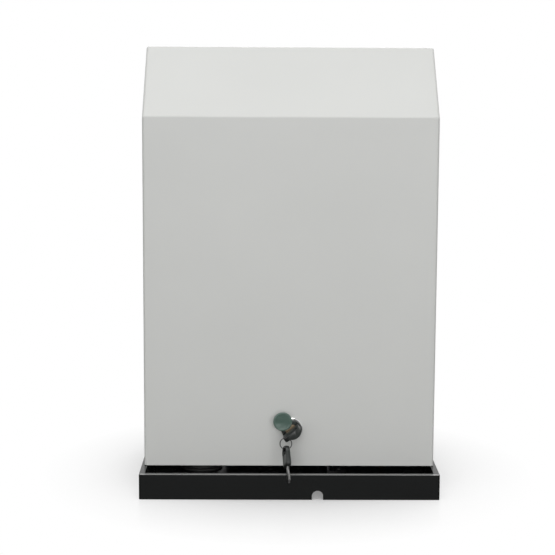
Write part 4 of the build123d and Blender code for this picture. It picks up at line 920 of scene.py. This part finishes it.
@dataclass
class Studio:
    """A pale glossy floor, duller to the light it throws back, a white surround and soft lamps."""

    floor_size: float = 60.0
    floor_gap: float = 0.4 * MM
    floor_tone: float = 0.62
    bounce_tone: float = 0.10
    floor_glow: float = 0.27
    floor_gloss: float = 0.10
    white_from: float = 0.13
    white_at: float = 0.27
    sky: float = 0.50
    behind_camera: float = 0.22
    lamps: tuple[Softbox, ...] = (
        Softbox("top", (-0.1, -0.7, 2.6), (0, 0, 0.3), 1.8, 25.5),
        Softbox("front", (0.1, -2.6, 0.30), (0, 0, 0.05), 2.2, 55.0),
        Softbox("rear", (0.3, 2.2, 2.6), (0, 0, 0.2), 1.6, 32.0),
    )

    def floor(self) -> None:
        """Make the pale floor: white to the camera away from the shadow, with a weak reflection."""
        piece = add_primitive(bpy.ops.mesh.primitive_plane_add, size=self.floor_size,
                              location=(0, 0, -self.floor_gap))
        piece.name = "studio_floor"
        tree = Tree(bpy.data.materials.new("studio_floor"))
        camera = tree.node("ShaderNodeLightPath", {}, "Is Camera Ray")
        bounce = tree.node("ShaderNodeBsdfDiffuse", {"Color": (*[self.bounce_tone] * 3, 1)})
        seen = tree.node("ShaderNodeBsdfDiffuse", {"Color": (*[self.floor_tone] * 3, 1)})
        diffuse = tree.blend(camera, bounce, seen)
        glow = tree.node("ShaderNodeEmission", {"Color": WHITE, "Strength": self.floor_glow})
        dark = tree.node("ShaderNodeEmission", {"Color": BLACK, "Strength": 0.0})
        glow = tree.blend(camera, dark, glow)
        matt = tree.node("ShaderNodeAddShader", {0: diffuse, 1: glow})
        gloss = tree.node("ShaderNodeBsdfGlossy", {"Color": WHITE, "Roughness": 0.16})
        near = tree.blend(self.floor_gloss, matt, gloss)
        distance = tree.node("ShaderNodeVectorMath", {0: tree.coordinates()}, 1, operation="LENGTH")
        white = tree.node("ShaderNodeEmission", {"Color": WHITE, "Strength": 1.0})
        far = camera * distance.ramp(self.white_from, self.white_at)
        surface = tree.blend(far, near, white)
        tree.node("ShaderNodeOutputMaterial", {"Surface": surface})
        piece.data.materials.append(tree.owner)
        piece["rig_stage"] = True

    def world(self) -> None:
        """Even light, a white background, and a darker room behind the camera in reflections."""
        world = bpy.data.worlds.new("studio")
        bpy.context.scene.world = world
        tree = Tree(world)
        direction = tree.node("ShaderNodeTexCoord", {}, "Generated")
        span = {"Value": tree.node("ShaderNodeSeparateXYZ", {"Vector": direction}, "Y"),
                "From Min": -0.55, "From Max": -0.05, "To Min": self.behind_camera, "To Max": 1.0}
        room = tree.node("ShaderNodeMapRange", span)
        light = tree.node("ShaderNodeBackground", {"Color": WHITE, "Strength": self.sky})
        mirrored = tree.node("ShaderNodeBackground", {"Color": WHITE, "Strength": room})
        white = tree.node("ShaderNodeBackground", {"Color": WHITE})
        glossy_ray = tree.node("ShaderNodeLightPath", {}, "Is Glossy Ray")
        lit = tree.blend(glossy_ray, light, mirrored)
        camera_ray = tree.node("ShaderNodeLightPath", {}, "Is Camera Ray")
        seen = tree.blend(camera_ray, lit, white)
        tree.node("ShaderNodeOutputWorld", {"Surface": seen})

    def build(self) -> None:
        """Make the whole studio."""
        bpy.context.scene.view_settings.view_transform = "Standard"
        self.world()
        self.floor()
        for lamp in self.lamps:
            lamp.build()


@dataclass
class SubAssembly:
    """Pieces that are finished together."""

    shop: Workshop
    edges: Edges = ()

    def details(self) -> None:
        """Each sub-assembly makes its own small pieces."""
        raise NotImplementedError

    def build(self) -> None:
        """Round the listed edges, then add the small pieces."""
        for node, width, segments in self.edges:
            self.shop.soften(node, width, segments)
        self.details()


@dataclass
class CamLock(SubAssembly):
    """The cam lock and its keys: rounded edges, and the thread behind the cover."""

    edges: Edges = (
        ("key_bow", 0.35, 3), ("spare_key_bow", 0.35, 3), ("key_blade", 0.12, 1),
        ("spare_key_blade", 0.12, 1), ("lock_cam", 0.2, 1), ("lock_nut", 0.4, 2),
        ("cam_screw", 0.25, 2), ("lock_rosette", 0.25, 2), ("dust_cap", 0.15, 2),
    )
    thread_turns: int = 7
    thread_pitch: float = 1.5
    thread_gap: float = 0.6
    thread_depth: float = 1.0
    crest_radius: float = 0.38

    def details(self) -> None:
        """The barrel's thread crests, as rings between the nut and the cam."""
        low, high, middle = extent("lock_barrel")
        start = extent("lock_nut")[1].y + self.thread_gap
        places = [start + self.thread_pitch * turn for turn in range(self.thread_turns)]
        radius = (high.x - low.x) / 2 - self.thread_depth
        rings = [hoop(Axis.Y, (middle.x, y, middle.z), radius, self.crest_radius)
                 for y in places if y + self.thread_gap < high.y]
        self.shop.hand_over(merge(rings), "lock_thread", "cover", "lock_dark")


@dataclass
class Castings(SubAssembly):
    """Rounded edges on the cast, moulded and folded pieces, and their small cast or screwed details."""

    edges: Edges = (
        ("gearbox_lid", 0.7, 2), ("motor_top_shield", 0.6, 2), ("limit_switch_box", 0.5, 2),
        ("switch_bracket", 0.5, 2), ("strike_bracket", 0.3, 1), ("electronics_panel", 0.3, 1),
        ("release_lever", 0.6, 2), ("drive_pinion", 0.35, 1), ("pinion_screw", 0.4, 2),
        ("lid_screws", 0.3, 1), ("gearbox_bolts", 0.3, 1), ("motor_bolts", 0.3, 1),
        ("oil_plug", 0.4, 1), ("fan_cowl", 0.3, 1), ("cable_grommet", 0.4, 2),
        ("bracket_screws", 0.2, 1), ("board_standoffs", 0.15, 1), ("limit_wand", 0.2, 1),
    )
    parting_y: float = 50.0
    parting_inset: float = 4.9
    parting_radius: float = 0.5
    guard_radii: tuple[float, ...] = (13.0, 19.0, 23.0, 29.0, 37.0, 41.0, 47.0)
    guard_drop: float = 2.4
    guard_wire: float = 0.6
    motor_gland_radius: float = 9.0
    switch_gland_radius: float = 6.0
    switch_gland_y: float = 110.0
    box_screw_inset: float = 9.0
    earth_seat: Place = (100.0, -30.0, 16.0)
    earth_layers: tuple[Layer, ...] = (
        (0.5, 6.0, 1.0, 32, 0.2), (1.5, 4.8, 1.0, 32, 0.2), (3.6, 4.2, 3.2, 6, 0.4), (6.4, 2.4, 3.0, 20, 0.4),
    )
    spring_turns: int = 12
    spring_pitch: float = 1.5
    spring_radius: float = 2.9
    spring_wire: float = 0.55

    def parting_line(self) -> None:
        """The raised line where the gearbox casting's two moulds met."""
        low, high, _ = extent("gearbox_gasket")
        middle = extent("gearbox_lid")[2]
        radius = (high.x - low.x) / 2 - self.parting_inset
        line = hoop(Axis.Y, (middle.x, self.parting_y, middle.z), radius, self.parting_radius, 96)
        self.shop.hand_over(line, "gearbox_parting_line", "root", "gear_casting")

    def cowl_guard(self) -> None:
        """Wire rings and spokes under the cowl's air slots."""
        _, high, middle = extent("fan_cowl")
        centre = (middle.x, middle.y, high.z - self.guard_drop)
        parts = [hoop(Axis.Z, centre, radius, self.guard_wire) for radius in self.guard_radii]
        across = 2 * self.guard_radii[-1]
        parts += [rod(axis, centre, self.guard_wire, across, 8) for axis in (Axis.X, Axis.Y)]
        self.shop.hand_over(merge(parts), "cowl_guard", "root", "zinc_steel")

    def glands(self) -> None:
        """The blanked cable glands on the motor case and on the limit switch box."""
        motor_low, motor_high, motor = extent("motor_case")
        box_low, box_high, _ = extent("limit_switch_box")
        places = (((motor_high.x - 2, motor.y, motor_low.z + 20), self.motor_gland_radius),
                  ((box_high.x, self.switch_gland_y, box_low.z + 16), self.switch_gland_radius))
        for index, (seat, radius) in enumerate(places):
            layers = ((3, radius, 6, 6, 0.5), (8, radius * 0.86, 6, 32, 1.4),
                      (11.2, radius * 0.5, 1.2, 24, 0.3))
            self.shop.hand_over(stack(Axis.X, seat, layers), f"cable_gland_{index}", "root", "black_plastic")

    def switch_box_screws(self) -> None:
        """Four slotted screws in the limit switch box's lid."""
        low, high, _ = extent("limit_switch_box")
        inset = self.box_screw_inset
        parts = [slotted_head(Axis.Y, (x, high.y, z), 2.4, 1.4, 1)
                 for x in (low.x + inset, high.x - inset) for z in (low.z + inset, high.z - inset)]
        self.shop.hand_over(merge(parts), "switch_box_screws", "root", "zinc_steel")

    def wand_spring(self) -> None:
        """The coils of the limit wand's return spring, round the foot of its wire."""
        low, high, middle = extent("limit_wand")
        coils = [hoop(Axis.Z, (middle.x, high.y - 3.5, low.z + 14.0 + self.spring_pitch * turn),
                      self.spring_radius, self.spring_wire, 28) for turn in range(self.spring_turns)]
        self.shop.hand_over(merge(coils), "wand_spring", "wand", "shaft_steel")

    def details(self) -> None:
        """Add every cast or screwed detail, and the earthing screw on the base's web."""
        self.parting_line()
        self.cowl_guard()
        self.glands()
        self.switch_box_screws()
        earth = stack(Axis.Z, self.earth_seat, self.earth_layers)
        self.shop.hand_over(earth, "earth_screw", "root", "bronze")
        self.wand_spring()


@dataclass
class CoverRear(SubAssembly):
    """The rear of the cover: lap seams with pop rivets, and the earthing stud inside."""

    rivets: int = 7
    seam_inset: float = 3.0
    seam_width: float = 14.0
    seam_thickness: float = 0.8
    seam_sink: float = 0.1
    foot_gap: float = 2.0
    head_gap: float = 6.0
    rivet_margin: float = 16.0
    rivet_layers: tuple[Layer, ...] = ((0.5, 3.0, 1.0, 24, 0.35), (0.95, 1.1, 0.5, 16, 0.1))
    stud_x: float = -120.0
    stud_z: float = 60.0
    stud_layers: tuple[Layer, ...] = (
        (0.6, 5.5, 1.2, 28, 0.2), (3.0, 4.6, 3.6, 6, 0.4), (6.4, 2.5, 5.0, 20, 0.4),
    )

    def seam(self, side: str, outer: float, inner: float) -> None:
        """Make one seam with its rivets.

        Args:
            side: left or right.
            outer: the seam's side near the cover's corner, in millimetres.
            inner: its other side.
        """
        low, high, _ = extent("cover_shell")
        bottom, top = low.z + self.foot_gap, high.z - self.head_gap
        face = high.y + self.seam_thickness
        strip = rounded_box((min(outer, inner), high.y - self.seam_sink, bottom),
                            (max(outer, inner), face, top), 0.25, 1)
        self.shop.hand_over(strip, f"cover_seam_{side}", "cover", "cover_coat")
        step = (top - bottom - 2 * self.rivet_margin) / (self.rivets - 1)
        seats = [((outer + inner) / 2, face, bottom + self.rivet_margin + step * index)
                 for index in range(self.rivets)]
        heads = merge([stack(Axis.Y, seat, self.rivet_layers) for seat in seats])
        self.shop.hand_over(heads, f"cover_rivets_{side}", "cover", "zinc_steel")

    def details(self) -> None:
        """Make both seams and the stud."""
        low, high, _ = extent("cover_shell")
        reach = self.seam_inset + self.seam_width
        self.seam("left", low.x + self.seam_inset, low.x + reach)
        self.seam("right", high.x - self.seam_inset, high.x - reach)
        stud = stack(Axis.Y, (self.stud_x, low.y + 1.5, self.stud_z), self.stud_layers)
        self.shop.hand_over(stud, "cover_earth_stud", "cover", "bronze")


@dataclass
class Electronics(SubAssembly):
    """Components on the control board, placed from its lower left corner in millimetres."""

    edges: Edges = (("board_transformer", 0.6, 2), ("board_relays", 0.3, 2),
                    ("terminal_blocks", 0.25, 1), ("board_processor", 0.2, 1))
    seed: int = 7
    rows: int = 5
    columns: int = 12
    empty_share: float = 0.18
    jitter: float = 1.2
    first_resistor: Spot = (16, 33)
    resistor_pitch: Spot = (12.2, 6.5)
    resistor_widths: Spot = (3.2, 2.0)
    processor: Spot = (85, 74)
    leg_pitch: float = 1.27
    leg_reach: float = 9.2
    pin_strip: Spot = (120, 88)
    strip_pitch: float = 2.54
    coding_switch: Spot = (31, 82)
    trimmer: Spot = (56, 88)
    trimmer_pitch: float = 11.0
    button: Spot = (100, 100)
    button_pitch: float = 10.0
    fuse: Spot = (81, 24.5)
    varistor: Spot = (74, 114)
    varistor_pitch: float = 14.0
    heat_sink: Spot = (106, 118)
    receiver: Spot = (150, 74)
    capacitors: tuple[tuple[float, float, float, float], ...] = (
        (18, 100, 6, 16), (32, 100, 4, 11), (42, 100, 4, 11), (134, 108, 8, 24), (152, 108, 8, 24),
    )
    lamps: tuple[tuple[str, str, tuple[float, ...]], ...] = (
        ("red", "lever_red", (18, 24, 30)), ("green", "terminal_plastic", (36, 42, 48)),
    )
    lamp_z: float = 24.5
    lamp_layers: tuple[Layer, ...] = ((-2.0, 1.5, 4.0, 20, 0.7), (-0.5, 1.9, 1.0, 20, 0.2))
    left: float = field(init=False)
    face: float = field(init=False)
    bottom: float = field(init=False)

    def __post_init__(self) -> None:
        """Read the board's place from the frame."""
        self.left, self.face, self.bottom = extent("control_board")[0]

    def fix(self, parts: Sequence[Piece], name: str, slot: str) -> None:
        """Join parts and fix them to the board."""
        self.shop.hand_over(merge(parts), name, "root", slot)

    def at(self, x: float, out: float, z: float) -> Place:
        """The point that lies this far right, outwards and up from the corner of the board's face."""
        return (self.left + x, self.face - out, self.bottom + z)

    def chip(self, x: float, z: float, width: float, height: float, depth: float,
             edge: float) -> Piece:
        """A body on the board's face.

        Args:
            x: its middle from the board's left.
            z: its middle from the board's lower edge.
            width: its size across.
            height: its size upwards.
            depth: how far it stands out.
            edge: its rounding.

        Returns:
            The body.
        """
        return rounded_box(self.at(x - width / 2, depth, z - height / 2),
                           self.at(x + width / 2, -0.05, z + height / 2), edge, 2)

    def cans(self) -> None:
        """The smoothing capacitors: sleeve, rolled groove and a scored metal top."""
        sleeves, tops = [], []
        for x, z, radius, height in self.capacitors:
            sleeves.append(rod(Axis.Y, self.at(x, height / 2, z), radius, height, 28, 0.5))
            sleeves.append(hoop(Axis.Y, self.at(x, 1.8, z), radius, 0.35, 28))
            tops.append(rod(Axis.Y, self.at(x, height + 0.05, z), radius - 0.9, 0.3, 28))
            for turn in (0, 60, 120):
                score = rounded_box((-radius * 0.6, -0.12, -0.12), (radius * 0.6, 0.12, 0.12), 0.03, 1)
                score.rotation_euler = (0, math.radians(turn), 0)
                score.location = metres(self.at(x, height + 0.2, z))
                tops.append(score)
        self.fix(sleeves, "board_capacitors", "black_plastic")
        self.fix(tops, "board_capacitor_tops", "key_steel")

    def resistors(self) -> None:
        """Rows of small parts between the terminals and the chips: bodies and their metal ends."""
        draw = random.Random(self.seed)
        bodies, ends = [], []
        for row in range(self.rows):
            for column in range(self.columns):
                if draw.random() < self.empty_share:
                    continue
                x = self.first_resistor[0] + self.resistor_pitch[0] * column
                x += draw.uniform(-self.jitter, self.jitter)
                z = self.first_resistor[1] + self.resistor_pitch[1] * row
                wide = draw.choice(self.resistor_widths)
                bodies.append(self.chip(x, z, wide, 1.6, 0.8, 0.1))
                ends += [self.chip(x + side * wide / 2, z, 0.5, 1.7, 0.9, 0.08) for side in (-1, 1)]
        self.fix(bodies, "board_resistors", "black_plastic")
        self.fix(ends, "board_solder", "key_steel")

    def pins(self) -> None:
        """Legs of the chips and of the pin strip."""
        x, z = self.processor
        legs = [self.chip(x + side * self.leg_reach, z - 7.5 + self.leg_pitch * step, 2.4, 0.5, 0.6, 0.08)
                for side in (-1, 1) for step in range(13)]
        legs += [self.chip(x - 6.5 + self.leg_pitch * step, z + side * self.leg_reach, 0.5, 2.4, 0.6, 0.08)
                 for side in (-1, 1) for step in range(11)]
        x, z = self.pin_strip
        places = [x + self.strip_pitch * step for step in range(8)]
        strip = [self.chip(place, z, 2.3, 2.4, 2.4, 0.3) for place in places]
        legs += [self.chip(place, z, 0.64, 0.64, 8.0, 0.1) for place in places]
        self.fix(legs, "board_pins", "key_steel")
        self.fix(strip, "board_pin_strip", "black_plastic")

    def controls(self) -> None:
        """Setting parts: coding switches, trimmers and push buttons."""
        x, z = self.coding_switch
        self.fix([self.chip(x, z, 22, 9.6, 5.5, 0.4)], "coding_switch", "lever_red")
        sliders = [self.chip(x - 8.5 + 2.45 * step, z + (1.4 if step % 3 else -1.4), 1.3, 2.0, 6.4, 0.15)
                   for step in range(8)]
        x, z = self.trimmer
        places = [x + self.trimmer_pitch * step for step in range(3)]
        trimmers = [self.chip(place, z, 7.2, 7.2, 4.8, 0.4) for place in places]
        self.fix(trimmers, "board_trimmers", "relay_plastic")
        sliders += [slotted_head(Axis.Y, self.at(place, 4.8, z), 2.3, 0.9, -1) for place in places]
        self.fix(sliders, "board_setting_parts", "capacitor_can")
        x, z = self.button
        places = [x, x + self.button_pitch]
        keys = [self.chip(place, z, 6.2, 6.2, 3.6, 0.4) for place in places]
        keys += [rod(Axis.Y, self.at(place, 4.3, z), 1.7, 1.8, 20, 0.3) for place in places]
        self.fix(keys, "board_buttons", "black_plastic")

    def signal_lamps(self) -> None:
        """Small round lamps, each with its collar, in one piece for each colour."""
        for colour, slot, places in self.lamps:
            parts = [stack(Axis.Y, self.at(x, 0, self.lamp_z), self.lamp_layers) for x in places]
            self.fix(parts, f"board_lamps_{colour}", slot)

    def power(self) -> None:
        """Fuse, varistors and heat sink."""
        x, z = self.fuse
        caps = [rod(Axis.Y, self.at(x + side * 9, 4.5, z), 0.5, 9.0, 8) for side in (-1, 1)]
        caps += [rod(Axis.X, self.at(x + side * 8, 5.5, z), 2.7, 5.0, 28, 0.3) for side in (-1, 1)]
        self.fix(caps, "fuse_caps", "key_steel")
        self.fix([rod(Axis.X, self.at(x, 5.5, z), 2.4, 14.0, 28, 0.2)], "fuse_tube", "capacitor_can")
        x, z = self.varistor
        places = (x, x + self.varistor_pitch)
        discs = [rod(Axis.Y, self.at(place, 4.0, z), 5.6, 3.6, 32, 1.2) for place in places]
        self.fix(discs, "board_varistors", "relay_plastic")
        x, z = self.heat_sink
        fins = [self.chip(x, z, 20, 2.0, 16, 0.3)]
        fins += [self.chip(x + 4 * step, z, 1.4, 9.0, 16, 0.3) for step in range(-2, 3)]
        self.fix(fins, "board_heat_sink", "cowl_paint")

    def receiver_card(self) -> None:
        """The plug-in receiver, with its chips and its coil."""
        x, z = self.receiver
        self.fix([self.chip(x, z, 30, 14, 1.6, 0.2)], "receiver_board", "circuit_board")
        chips = [self.chip(x - 7, z, 9, 9, 3.2, 0.3), self.chip(x + 7, z + 2, 5, 7, 2.6, 0.3)]
        self.fix(chips, "receiver_chips", "black_plastic")
        coil = [rod(Axis.X, self.at(x + 2, 4.2, z - 4.5), 1.6, 14.0, 16)]
        coil += [hoop(Axis.X, self.at(x - 4 + 1.2 * step, 4.2, z - 4.5), 1.8, 0.45, 16, 6)
                 for step in range(11)]
        self.fix(coil, "receiver_coil", "winding")

    def terminals(self) -> None:
        """The clamp screws in the terminal blocks."""
        low = extent("terminal_blocks")[0]
        places = [low.x + 36 * block + 5 + 6 * step for block in range(4) for step in range(5)]
        heads = [slotted_head(Axis.Y, (x, low.y + 3.6, low.z + 4), 1.6, 1.2, -1) for x in places]
        self.fix(heads, "terminal_screws", "zinc_steel")

    def details(self) -> None:
        """Place everything on the board."""
        self.cans()
        self.resistors()
        self.pins()
        self.controls()
        self.signal_lamps()
        self.power()
        self.receiver_card()
        self.terminals()


def main(frame: dict, loaded_box: tuple) -> None:
    """Build the looks in order.
    """
    logging.basicConfig(level=logging.INFO, format="%(message)s")
    ViewPoint().build()
    Studio().build()
    shop = Workshop(frame)
    shop.dress_nodes()
    for assembly in (CamLock(shop), Castings(shop), CoverRear(shop), Electronics(shop)):
        LOG.info("assembly %s", type(assembly).__name__)
        assembly.build()


if __name__ == "__main__":
    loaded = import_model()
    main(loaded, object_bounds())
